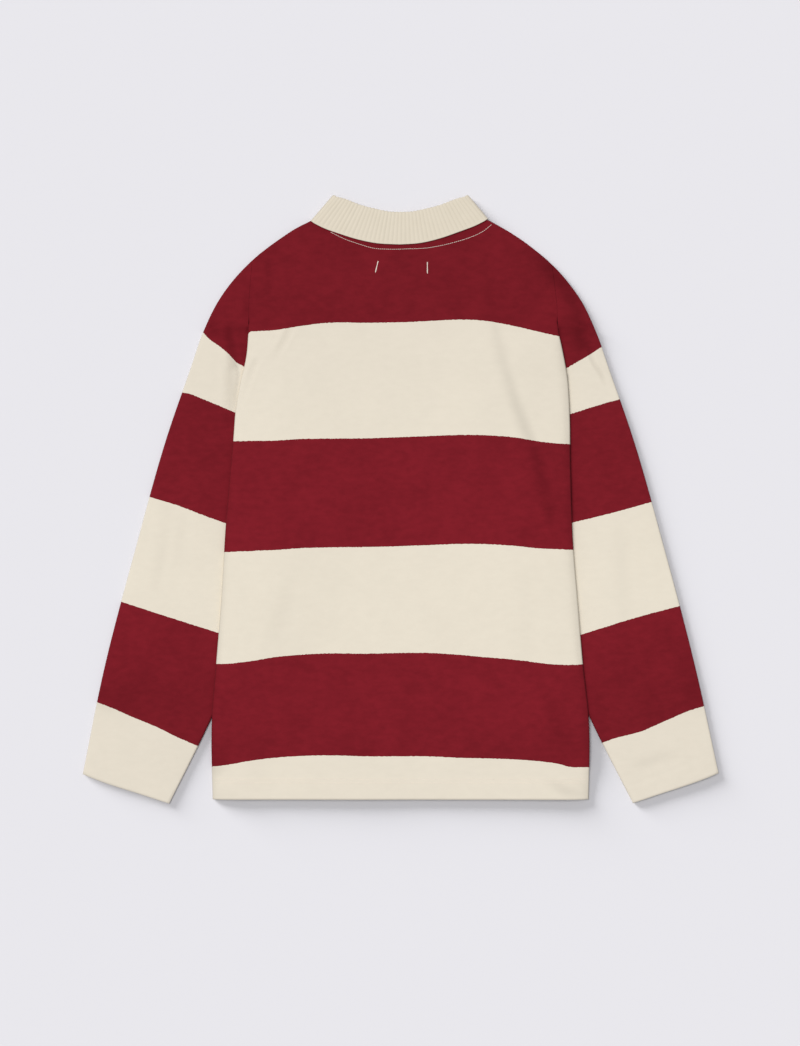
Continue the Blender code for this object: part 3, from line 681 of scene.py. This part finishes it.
def panel_plan(neck_depth, columns, rows, roll_steps):
    """A body panel's outer face: plan points and the drop at its rolled edges."""
    share = np.linspace(0, 1, rows)
    part = np.linspace(0, 1, roll_steps + 1)[1:]
    shoulder_columns, neck_columns = columns
    sides = {side: body_side(side, share) for side in SIDE}
    shoulders = {}
    for side, (outer, inner, _) in sides.items():
        seam_direction = unit(outer[-1] - outer[-2])
        shoulders[side] = shoulder_line(side, inner[-1], seam_direction, shoulder_columns + 1)

    end_x = SHOULDER["right"][-1][0]
    neck = neck_line(neck_depth, np.linspace(-end_x, end_x, neck_columns + 1)[1:-1])
    up = np.tile((0.0, 1.0), (len(neck), 1))
    left, left_direction, left_turn = shoulders["left"]
    right, right_direction, right_turn = shoulders["right"]
    top = np.vstack([left, neck - up * ROLL_LENGTH, right[::-1]])
    direction = np.vstack([left_direction, up, right_direction[::-1]])
    top_turn = np.r_[left_turn, np.zeros(len(neck)), right_turn[::-1]]
    across = (top[:, 0] - top[0, 0]) / (top[-1, 0] - top[0, 0])
    left_in, right_in = sides["left"][1], sides["right"][1]
    hem = left_in[0] + across[:, None] * (right_in[0] - left_in[0])
    plan = patch(hem, top, left_in, right_in, across)

    reach, fall = roll_profile(top_turn[None], part[:, None])
    drop = np.concatenate([np.zeros(plan.shape[:2]), fall])
    plan = np.concatenate([plan, plan[-1:] + direction[None] * reach[..., None]])
    edges = []
    for side, column in (("left", 0), ("right", -1)):
        outer, inner, turn = sides[side]
        turn = np.r_[turn, np.full(roll_steps, turn[-1])]
        reach, fall = roll_profile(turn[:, None], part[None])
        span = np.vstack([outer - inner, np.tile(outer[-1] - inner[-1], (roll_steps, 1))])
        edge = plan[:, column][:, None] + span[:, None] * (reach / reach[:, -1:])[..., None]
        edges.append(lifted(edge, drop[:, column][:, None] + fall))
    left_edge, right_edge = edges
    panel = np.concatenate([left_edge[:, ::-1], lifted(plan, drop), right_edge], axis=1)
    return panel[..., :2], panel[..., 2]


def add_panel(name, node_name, outer, plan, shade, material):
    """Adds a body panel, whose turned-up hem is thicker."""
    # The numbers after the stripe are painted light and painted shade.
    mesh = shell_mesh(name, outer, WALL + HEM_WALL * body_hem(plan), plan * MM,
                      stripe=body_stripe(plan), dye=np.interp(plan[..., 1], *BODY_PAINTED_LIGHT.T),
                      shade=shade)
    return add_piece(mesh, material, [node_name])


def make_back(material):
    plan, drop = panel_plan(BACK_NECK_DEPTH, (32, 96), 250, 7)
    # Painted shade in the folds and along the side edges.
    shade = fold_marks(plan, BODY_FOLDS + SEAM_FOLDS)[1] * side_edge_shade(plan)
    outer = lifted(plan, back_height(plan) - drop)
    piece = add_panel("back_cloth", "back", outer, plan, shade, material)


def make_front(material):
    plan, drop = panel_plan(FRONT_NECK_DEPTH, (16, 44), 110, 5)
    folded, shade = fold_marks(plan, HIDDEN_FOLDS)
    height = carried_height(plan) + drop - np.minimum(folded, 0) * ease(edge_distance(plan) / 20)
    outer = lifted(plan, height)
    # The columns run the other way, so that the outer face looks down.
    piece = add_panel("front_cloth", "front", outer[:, ::-1], plan[:, ::-1], shade[:, ::-1],
                      material)


# ---- sleeves
def past_side(side, points):
    """How far each point is to the right of the body's side line at its height."""
    return points[..., 0] - np.interp(points[..., 1], *np.array(SIDE[side])[:, ::-1].T)


def make_sleeve(side, material):
    """A flattened tube: lower wall, inner fold, upper wall and outer fold a ring.

    The walls are one patch between the head, the cuff and the folded edges.
    The upper wall swells a little where the body doesn't lie on it.
    """
    columns, rows, steps = 84, 206, 12
    share = np.linspace(0, 1, columns)
    down = np.r_[np.linspace(0, 0.006, 7)[:-1], np.linspace(0.006, 1, rows - 6)]
    head, cuff = sleeve_head(side, share), curve(CUFF[side], share)
    outer, inner = curve(SLEEVE_OUTER[side], down), curve(SLEEVE_INNER[side], down)
    centre = (outer.mean(0) + inner.mean(0)) / 2
    outer_normal, inner_normal = outward(outer, centre), outward(inner, centre)
    near_head = (1 - down[:, None]) ** 24
    outer_normal = unit(outer_normal * (1 - near_head) + unit(head[0] - head[1]) * near_head)
    seam = outward(head, (0.0, 150.0))
    gap = SEAM_GAP / 2 + SHOULDER_EASE * (1 - share) ** 4
    head = head + seam * gap[:, None]
    outer = outer + seam[0] * gap[0] * near_head
    outer_in = outer - outer_normal * FOLD_RADIUS
    inner_in = inner - inner_normal * FOLD_RADIUS
    first, last = (1 - share[:, None]) ** 12, share[:, None] ** 6
    head = head + first * (outer_in[0] - head[0]) + last * (inner_in[0] - head[-1])
    cuff = cuff + first * (outer_in[-1] - cuff[0]) + last * (inner_in[-1] - cuff[-1])
    flat = patch(head, cuff, outer_in, inner_in)

    clear = SIGN[side] * past_side(side, flat)
    swell = np.maximum(ease((clear - 4) / 40), ease((-250 - flat[..., 1]) / 60))
    swell = swell * np.sin(np.pi * share) ** 0.7 * (clear > 0)
    # Above the notch the sleeve is sewn to the body, so it rises with it, but
    # not where it lies under the body.
    under = ease((HEAD_LEAVES + 2 - flat[..., 1]) / 6) * (1 - ease(clear / 4))
    sewn = carried_height(flat) * ease((flat[..., 1] - HEAD_LEAVES + 10) / 16) * (1 - under)
    folds = SLEEVE_FOLDS[side] + SEAM_FOLDS
    folded = fold_marks(flat, folds)[0] * (clear > -3)
    length = stretches(outer).sum()
    from_head, from_cuff = (down * length)[:, None], ((1 - down) * length)[:, None]
    hem = hem_share(from_cuff)
    waves = soft_waves(flat, SLEEVE_SEED[side], 1.2)
    upper = PLY + sewn + swell * (SLEEVE_SWELL + waves) + folded
    upper += HEM_STEP * hem - seam_dip(from_head)
    lower = sewn - np.minimum(fold_marks(flat, HIDDEN_FOLDS)[0], 0)

    angle = np.linspace(0, np.pi, steps + 1)[1:-1]
    reach, rise = FOLD_RADIUS * np.sin(angle), FOLD_RADIUS * (1 - np.cos(angle))

    def fold(line, normal):
        turn = line[:, None] + normal[:, None] * reach[None, :, None]
        return lifted(turn, np.tile(rise, (rows, 1)))

    lower_wall = lifted(flat, lower)
    ring = np.concatenate([lower_wall, fold(inner_in, inner_normal), lifted(flat, upper)[:, ::-1],
                           fold(outer_in, outer_normal)[:, ::-1], lower_wall[:, :1]], axis=1)
    if side == "right":
        ring = ring[:, ::-1]
    plan = ring[..., :2]
    # Painted shade in the folds, and on the right sleeve a painted shadow along the body's side
    # edge.
    shade = fold_marks(plan, folds)[1]
    if side == "right":
        edge_shadow_share = np.interp(plan[..., 1], *EDGE_SHADOW.T)
        shade *= 1 - edge_shadow_share * np.exp(-(past_side(side, plan) / 1.8) ** 2)
    name = f"sleeve_{side}_cloth"
    # The numbers after the stripe are painted light and painted shade.
    mesh = shell_mesh(name, ring, WALL + HEM_WALL * hem, plan * MM, closed=True,
                      stripe=sleeve_stripe(side, plan), dye=np.interp(plan[..., 1], *SLEEVE_PAINTED_LIGHT.T),
                      shade=shade)
    piece = add_piece(mesh, material, [f"sleeve_{side}"])


# ---- collar
def make_collar(material):
    """One rib strip, folded into stand and fall and wrapped round the neck.

    Rows run from the neck seam up the stand, over the fold and down the fall.
    Columns run from one front leaf, round a side, across the back and round
    the other side. Each rib is |cos| across the columns, which gives broad
    crests and narrow valleys, and the finished free edge is a plain band.
    """
    per_rib, leaf_columns, wrap_steps = 8, 60, 14
    half_ribs = RIB_COUNT / 2
    shares = np.linspace(0, 1, int(half_ribs * per_rib) + 1)
    leaf = np.linspace(0, 1, leaf_columns + 1)[1:]
    corner_fold, corner_free = np.array(COLLAR_SIDE_FOLD), np.array(COLLAR_SIDE_FREE)
    slant = unit(corner_fold - corner_free)
    side_normal = np.array((slant[1], -slant[0]))
    fold_side = corner_fold - side_normal * COLLAR_MIDDLE - slant * COLLAR_FOLD
    free_side = corner_free - side_normal * COLLAR_MIDDLE
    seam_side = np.array(SHOULDER["right"][-1]) + (-4.6, 2.4)
    back_seam = neck_line(BACK_NECK_DEPTH, seam_side[0] * (1 - shares)) + (0, SEAM_GAP)
    back_seam = back_seam + (seam_side - back_seam[0]) * (1 - shares[:, None]) ** 3
    front_x = seam_side[0] + (FRONT_FOLD[-1][0] - seam_side[0]) * leaf
    front_seam = neck_line(FRONT_NECK_DEPTH, front_x) + (0, SEAM_GAP + 1.2)

    stand_rows = np.linspace(1, 0, 7)[:-1]
    fold_angles = np.linspace(-np.pi / 2, np.pi / 2, 11)
    fall_rows = np.r_[np.linspace(0, 0.88, 16)[1:], 0.9, 0.92, 0.94, 0.96, 0.98, 1.0]

    def rows_of(share, seam, fold, free):
        """The strip's rows in plan, between the seam, the fold and the free edge."""
        fold = curve([fold_side, *(np.array(fold) - (0, COLLAR_FOLD))], share)
        free = curve([free_side, *free], share)
        near_side = (1 - share[:, None]) ** 2
        away = COLLAR_FOLD * unit(slant * near_side + np.array((0.0, 1.0)) * (1 - near_side))
        return np.array([fold + (seam - fold) * step for step in stand_rows]
                        + [fold + away * np.cos(angle) for angle in fold_angles]
                        + [fold + (free - fold) * step for step in fall_rows])

    level = np.r_[np.full(len(stand_rows), COLLAR_FOLD_LEVEL - COLLAR_FOLD),
                  COLLAR_FOLD_LEVEL + COLLAR_FOLD * np.sin(fold_angles),
                  np.full(len(fall_rows), COLLAR_MIDDLE)]
    back_plan = rows_of(shares, back_seam, BACK_FOLD, BACK_FREE)
    front_plan = rows_of(leaf, front_seam, FRONT_FOLD, FRONT_FREE)
    wrap = np.linspace(0, np.pi, wrap_steps + 1)[1:]
    wrap_plan = back_plan[:, :1] + side_normal * (level[:, None] * np.sin(wrap))[..., None]
    plan = np.concatenate([back_plan[:, ::-1], wrap_plan, front_plan], axis=1)
    rise = level[:, None] * np.r_[np.ones(len(shares)), np.cos(wrap), -np.ones(len(leaf))]

    # Ribs: the count of columns from the middle is the phase.
    bend_count = len(fold_angles)
    fall_share = np.r_[np.zeros(len(stand_rows) + bend_count), fall_rows]
    from_fold = np.r_[np.linspace(0, 1, len(stand_rows)), np.ones(bend_count + len(fall_rows))]
    phase = np.r_[np.arange(len(shares)) / per_rib,
                  half_ribs + np.arange(1, wrap_steps + 1) / wrap_steps * 3,
                  half_ribs + 3 + leaf * 20]
    uneven = np.random.default_rng(6).uniform(0.65, 1.0, int(phase[-1]) + 3)
    wave = np.abs(np.cos(np.pi * phase)) * uneven[np.rint(phase).astype(int)]
    on_top = np.r_[np.ones(len(shares)), np.linspace(1, 0, wrap_steps), np.zeros(len(leaf))]
    plain = ease((fall_share - 0.9) / 0.04)
    lift = RIB_HEIGHT * (wave[None] * (1 - plain)[:, None] + 0.75 * plain[:, None])
    lift = lift * on_top[None] * from_fold[:, None]
    right = lifted(plan, COLLAR_MIDDLE + rise)
    points = np.concatenate([right[:, :0:-1] * (-1, 1, 1), right], axis=1)[:, ::-1]
    points[..., 1] += COLLAR_TILT * fall_share[:, None] * ease(points[..., 0] / 90)
    points[..., 0] += COLLAR_SWAY * fall_share[:, None]
    lift = np.concatenate([lift[:, :0:-1], lift], axis=1)[:, ::-1]
    outer = points + face_normals(points, False) * lift[..., None]
    along = np.r_[np.linspace(-0.032, 0, len(stand_rows)), np.linspace(0, 0.006, len(fold_angles)),
                  0.006 + 0.038 * fall_rows]
    number = np.concatenate([-phase[:0:-1], phase])[::-1]
    cloth = np.stack(np.meshgrid(number, along), -1)
    mesh = shell_mesh("collar_rib", outer, COLLAR_WALL + lift, cloth)
    piece = add_piece(mesh, material, ["collar"])


# ---- placket
def placket_height(points):
    """Its lower face: edges rounded over 0.6 mm, sunk a little at the stitching."""
    edge = np.minimum(PLACKET_WIDTH / 2 - np.abs(points[..., 0]),
                      np.minimum(PLACKET_TOP - points[..., 1],
                                 points[..., 1] - PLACKET_TOP + PLACKET_LENGTH))
    away = 1 - np.clip(edge / 0.6, 0, 1)
    sunk = 0.15 * np.exp(-((edge - PLACKET_SEAM) / 0.8) ** 2)
    return PLACKET_LEVEL + sunk + 0.6 * (1 - np.sqrt(1 - away ** 2 * 0.98))


def make_placket(material):
    """The strip that edges the front's opening, folded, ironed flat and stitched."""
    rim = np.array([0.0, 0.08, 0.25, 0.6])
    half = PLACKET_WIDTH / 2
    x = np.r_[-half + rim, np.linspace(1.2 - half, half - 1.2, 35), half - rim[::-1]]
    y = np.r_[rim, np.linspace(1.2, PLACKET_LENGTH - 1.2, 90), PLACKET_LENGTH - rim[::-1]]
    plan = np.stack(np.meshgrid(x, PLACKET_TOP - y), -1)
    mesh = shell_mesh("placket_strip", lifted(plan, placket_height(plan)), PLACKET_WALL, plan * MM)
    piece = add_piece(mesh, material, ["placket"])


# ---- threads
def thread_mesh(name, starts, ends, up):
    """Short stretches of thread, each a tube that bows 0.6 radii out of the cloth
    in the middle and tapers at its ends."""
    sides, shares = 6, np.array([0.0, 0.12, 0.5, 0.88, 1.0])
    girth = np.array([0.5, 1.0, 1.05, 1.0, 0.5]) * THREAD
    along = unit(ends - starts)
    aside = unit(np.cross((0.0, 0.0, up), along))
    above = np.cross(along, aside)
    angle = np.arange(sides) * 2 * np.pi / sides
    centre = starts[:, None] + (ends - starts)[:, None] * shares[:, None]
    centre += above[:, None] * (np.sin(np.pi * shares) * 0.6 * THREAD)[:, None]
    ring = (aside[:, None] * np.cos(angle)[:, None] + above[:, None] * np.sin(angle)[:, None])
    points = centre[:, :, None] + ring[:, None] * girth[:, None, None]
    index = np.arange(points[..., 0].size).reshape(points.shape[:3])
    turned = np.roll(index, -1, axis=2)
    quads = np.stack([index[:, :-1], turned[:, :-1], turned[:, 1:], index[:, 1:]], -1)
    caps = np.concatenate([index[:, 0, ::-1], index[:, -1]])
    return new_mesh(name, points.reshape(-1, 3), quads.reshape(-1, 4).tolist() + caps.tolist())


def stitches(path, height, pitch, seed, up=1.0):
    """Start and end points of stitches along a plan line, resting on the cloth.

    Each is drawn over 0.82 of its pitch, and the needle goes down between two.
    """
    path = np.asarray(path, float)
    length = stretches(path).sum()
    count = int(length / pitch)
    random = np.random.default_rng(seed)
    first = (np.arange(count) + random.normal(0, 0.03, count)) / count
    ends = []
    for share in (first, first + 0.82 / count):
        plan = curve(path, np.clip(share, 0, 1))
        plan = plan + random.normal(0, 0.05, plan.shape)
        ends.append(lifted(plan, height(plan) + up * THREAD * 0.2))
    return ends


def satin(path, width, pitch, height, up=1.0):
    """A tack: threads laid to and fro across a short line, over two along it."""
    start, end = np.asarray(path, float)
    run = end - start
    count = int(np.linalg.norm(run) / pitch)
    side = unit(np.array([run[1], -run[0]]))
    share = np.arange(count + 1) / count
    reach = width / 2 * (0.75 + 0.25 * np.cos(share * 9))
    zigzag = start + share[:, None] * run + side * (reach * (-1) ** np.arange(count + 1))[:, None]
    core = start + side * np.array([[0.2], [-0.2]])
    starts, ends = np.vstack([zigzag[:-1], core]), np.vstack([zigzag[1:], core + run])
    return [lifted(plan, height(plan) + THREAD * 0.9 * up) for plan in (starts, ends)]


def button_threads():
    """Two bars a button on its face, and the four legs through its holes."""
    starts, ends = [], []
    face, cloth = 0.2, PLACKET_LEVEL + 0.1
    for y in BUTTONS_Y:
        for x in (-BUTTON_HOLE, BUTTON_HOLE):
            starts.append((x, y - BUTTON_HOLE, face))
            ends.append((x, y + BUTTON_HOLE, face))
            for hole in (-BUTTON_HOLE, BUTTON_HOLE):
                starts.append((x, y + hole, face))
                ends.append((x + 0.02, y + hole, cloth))
    return np.array(starts), np.array(ends)


def make_threads(material):
    """Topstitch, tacks, twin-needle hems, and the placket's and buttons' threads."""
    hem_y = SIDE["left"][0][1] + HEM_DEPTH - 0.6
    half, top = PLACKET_WIDTH / 2 - PLACKET_SEAM, PLACKET_TOP - PLACKET_SEAM
    end = PLACKET_TOP - PLACKET_LENGTH
    box = [[(x, top), (x, end + PLACKET_SEAM)] for x in (-half, half)]
    box += [[(-half, y), (half, y)] for y in (end + PLACKET_SEAM, end + 24)]
    hems = [[(x, hem_y - row) for x in (-222.5, 0, 222.5)] for row in (0, 4.2)]

    def front_height(points):
        return carried_height(points) + THREAD * 0.9

    jobs = {
        "neck_topstitch": (1, [stitches(NECK_STITCH, back_height, 2.4, 3)]),
        "neck_tacks": (1, [satin(path, 1.5, 0.8, back_height) for path in TACKS]),
        "back_hem_stitches": (1, [stitches(line, back_height, 3.0, 5) for line in hems]),
        "front_hem_stitches": (-1, [stitches(line, front_height, 3.0, 8, -1) for line in hems]),
        "placket_stitches": (-1, [stitches(line, placket_height, 2.5, 9, -1) for line in box]
                             + [satin([(0, y - 7.0), (0, y + 7.0)], 2.2, 0.5, placket_height, 0)
                                for y in BUTTONS_Y]),
        "button_threads": (-1, [button_threads()]),
    }
    for name, (up, pairs) in jobs.items():
        starts, ends = (np.vstack(points) for points in zip(*pairs))
        mesh = thread_mesh(name, starts, ends, up)
        add_piece(mesh, material)


# ---- materials
def linear(code):
    """sRGB hex to linear: ((c + 0.055) / 1.055) ^ 2.4 above 0.04045."""
    values = np.array([int(code[k:k + 2], 16) / 255 for k in (1, 3, 5)])
    low, high = values / 12.92, ((values + 0.055) / 1.055) ** 2.4
    return (*np.where(values <= 0.04045, low, high).tolist(), 1.0)


def fill(thing, **values):
    """Sets a node's inputs by name, with _ for a space."""
    for key, value in values.items():
        thing.inputs[key.replace("_", " ")].default_value = value


def node(tree, kind, feeds=None, **settings):
    """Adds a shader node. Its settings name properties or inputs, and feeds gives
    inputs a value, a socket or another node's first live output."""
    new = tree.nodes.new("ShaderNode" + kind)
    for key, value in settings.items():
        if hasattr(new, key):
            setattr(new, key, value)
        else:
            fill(new, **{key: value})
    for key, source in (feeds or {}).items():
        if isinstance(source, bpy.types.Node):
            source = next(socket for socket in source.outputs if socket.enabled)
        if isinstance(source, bpy.types.NodeSocket):
            tree.links.new(source, new.inputs[key])
        else:
            new.inputs[key].default_value = source
    return new


def noise(tree, place, scale, detail, **more):
    return node(tree, "TexNoise", {"Vector": place}, Scale=scale, Detail=detail, **more)


def maths(tree, operation, *values):
    return node(tree, "Math", dict(enumerate(values)), operation=operation)


def mix(tree, share, first, second):
    """A colour between two: hex codes or nodes."""
    colours = (linear(c) if isinstance(c, str) else c for c in (first, second))
    return node(tree, "Mix", {"Factor": share, **dict(zip((6, 7), colours))}, data_type="RGBA")


def levels(tree, value, low, high, **source):
    """Maps a value, from 0 to 1 unless source says otherwise, to low to high."""
    return node(tree, "MapRange", {"Value": value}, To_Min=low, To_Max=high, **source)


def scaled(tree, colour, share):
    return node(tree, "VectorMath", {0: colour, "Scale": share}, operation="SCALE")


def new_material(name):
    material = bpy.data.materials.new(name)
    material.use_nodes = True
    tree = material.node_tree
    return material, tree, tree.nodes["Principled BSDF"]


def cover(tree, shader, colour, height, strength, depth):
    """Links the colour, and a bump of the given depth in metres."""
    bump = node(tree, "Bump", {"Height": height}, Strength=strength, Distance=depth)
    tree.links.new(colour.outputs[0], shader.inputs["Base Color"])
    tree.links.new(bump.outputs[0], shader.inputs["Normal"])


def soft_cotton(shader):
    """Cotton's finish: no gloss, and the nap's faint sheen at a low angle."""
    fill(shader, Roughness=1.0, IOR=1.4, Specular_IOR_Level=0.1, Sheen_Weight=0.03,
         Sheen_Roughness=0.4)


def striped_jersey():
    """Heavy cotton jersey, knitted in wide burgundy and cream stripes.

    The yarn is dyed before it is knitted, so the colour changes within one
    course, a line a little rough to the eye. Brushed cotton has no gloss, a
    faint nap, and short level flecks where a yarn was dyed more or less deeply.
    """
    material, tree, shader = new_material("cotton_jersey_yarn_dyed")
    place = node(tree, "TexCoord").outputs["Object"]
    number, painted_light_share, painted_shade = (node(tree, "Attribute", attribute_name=key).outputs["Fac"]
                            for key in ("stripe", "dye", "shade"))
    # Courses are about 1.1 mm; the colour line wanders by half a course.
    wander = noise(tree, place, 420.0, 1.0)
    shift = levels(tree, wander, -0.005, 0.005)
    count = maths(tree, "ADD", number, shift)
    pair = maths(tree, "MODULO", count, 2.0)
    is_cream = maths(tree, "GREATER_THAN", pair, 1.0)

    # Each colour from darker to lighter as the painted light share rises.
    burgundy, cream = mix(tree, painted_light_share, "#761B24", "#7E1D27"), mix(tree, painted_light_share, "#E7DECE", "#EBE2D1")
    dye = mix(tree, is_cream, burgundy, cream)
    # Uneven dyeing in clouds of 40 mm, level flecks of 6 by 3 mm, and a fine nap.
    level = node(tree, "Mapping", {"Vector": place}, Scale=(0.55, 1.0, 1.0))
    clouds = noise(tree, place, 24.0, 3.0)
    flecks = noise(tree, level, 150.0, 3.0, Roughness=0.6)
    nap = noise(tree, place, 900.0, 1.0)
    uneven = maths(tree, "MULTIPLY_ADD", clouds, 0.7, flecks)
    dark_share, pale_share = (
        levels(tree, uneven, 1 - reach, 1 + reach, From_Min=0.62, From_Max=1.08)
        for reach in (0.1, 0.015))
    share = node(tree, "Mix", {"Factor": is_cream, 2: dark_share, 3: pale_share})
    # Painted shade: the shade attribute darkens the colour in the folds and by the body's edges.
    mottled_and_shaded = scaled(tree, dye, maths(tree, "MULTIPLY", share, painted_shade))

    # Wales of 1.2 mm are finer than a pixel of the view, so close views have them.
    wales = node(tree, "TexWave", {"Vector": node(tree, "UVMap", uv_map="cloth")},
                 Scale=np.pi / 10 / 0.0012, Distortion=0.5).outputs["Fac"]
    relief = maths(tree, "MULTIPLY_ADD", wales, 0.5, nap)
    cover(tree, shader, mottled_and_shaded, relief, 0.2, 0.0003)
    soft_cotton(shader)
    return material


def rib_knit():
    """Flat-knit cotton rib: the ribs are in the mesh, the stitches are bump.

    Its yarn is a little greyer than the cream stripes.
    """
    material, tree, shader = new_material("cotton_flat_knit_rib")
    place = node(tree, "TexCoord").outputs["Object"]
    grain = noise(tree, place, 520.0, 2.0)
    clouds = noise(tree, place, 60.0, 2.0)
    colour = mix(tree, clouds, "#E0D6C3", "#E6DCCA")
    # U counts the ribs, so |cos(pi U)| is 0 in the purl column between two of them;
    # the colour is painted up to 7% darker there, painted shade in the recess.
    ribs = node(tree, "SeparateXYZ", {0: node(tree, "UVMap", uv_map="cloth")})
    wave = maths(tree, "COSINE", maths(tree, "MULTIPLY", ribs, np.pi))
    rib_valley_shade = levels(tree, maths(tree, "ABSOLUTE", wave), 0.93, 1.0, From_Max=0.5)
    cover(tree, shader, scaled(tree, colour, rib_valley_shade), grain, 0.3, 0.0003)
    soft_cotton(shader)
    return material


def plain_material(name, code, roughness, grain_size=0.003):
    """One dyed colour, a little uneven and rough, by a grain of the given metres."""
    material, tree, shader = new_material(name)
    place = node(tree, "TexCoord").outputs["Object"]
    grain = noise(tree, place, 1 / grain_size, 2.0)
    level = levels(tree, grain, 0.94, 1.06)
    colour = node(tree, "HueSaturation", {"Value": level}, Color=linear(code))
    cover(tree, shader, colour, grain, roughness / 2, grain_size / 20)
    fill(shader, Roughness=roughness, Specular_IOR_Level=0.2)
    return material


# ---- stage
SKY = 0.42              # the strengths of the sky and of the two lamps
OVERHEAD = 1.82
LOW = 6.9


def make_floor():
    size, depth = 6.0, 0.0003
    mesh = bpy.data.meshes.new("floor")
    corners = ((-size, -size), (size, -size), (size, size), (-size, size))
    mesh.from_pydata([(x, y, -depth) for x, y in corners], [], [(0, 1, 2, 3)])
    floor = new_object("floor", mesh)
    material, _, shader = new_material("matte_paper_floor")
    fill(shader, Base_Color=linear("#BFBEC2"), Roughness=1.0, Specular_IOR_Level=0.0)
    mesh.materials.append(material)
    return floor


def add_sun(name, strength, elevation, bearing, spread):
    """A far lamp: its angles in degrees, the bearing from +X towards +Y."""
    light = bpy.data.lights.new(name, "SUN")
    light.energy, light.angle = strength, np.radians(spread)
    lamp = new_object(name, light)
    lamp.rotation_euler = (np.radians(90 - elevation), 0, np.radians(bearing + 90))
    return lamp


def make_light(floor):
    """Soft studio light from above, and a low lamp from the upper left.

    The low lamp reaches the floor only. It throws the long soft shadow
    without raking the cloth.
    """
    scene = bpy.context.scene
    scene.world = bpy.data.worlds.new("soft_studio")
    scene.world.use_nodes = True
    sky = scene.world.node_tree.nodes["Background"]
    fill(sky, Color=(1, 1, 1, 1), Strength=SKY)
    add_sun("overhead", OVERHEAD, 74, 140, 25)
    low = add_sun("low_for_shadow", LOW, 15.5, 141, 27)
    reached = bpy.data.collections.new("lit_by_low_lamp")
    reached.objects.link(floor)
    low.light_linking.receiver_collection = reached
    scene.view_settings.view_transform = "Standard"


def make_camera():
    """Straight above, a long lens; the frame is 1046 pixels of 1.2 mm high."""
    frame_height, focal, sensor, middle = 1.2552, 90.0, 36.0, -0.0284
    camera = bpy.data.cameras.new("camera")
    camera.lens, camera.sensor_width = focal, sensor
    thing = new_object("camera", camera)
    thing.location = (-0.0006, middle, frame_height * focal / sensor + 0.005)
    bpy.context.scene.camera = thing


def main():
    make_light(make_floor())
    make_camera()
    jersey, rib = striped_jersey(), rib_knit()
    make_back(jersey)
    make_front(jersey)
    for side in SIDE:
        make_sleeve(side, jersey)
    make_collar(rib)
    make_placket(plain_material("cotton_jersey_cream", "#E9DFCE", 0.95, 0.0012))
    make_threads(plain_material("spun_sewing_thread", "#F6ECE0", 0.7, 0.001))
    resin = plain_material("cast_polyester_resin", "#E6DDCB", 0.35)
    for name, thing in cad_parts.items():
        if name.startswith("button"):
            thing.data.materials.clear()
            thing.data.materials.append(resin)


main()
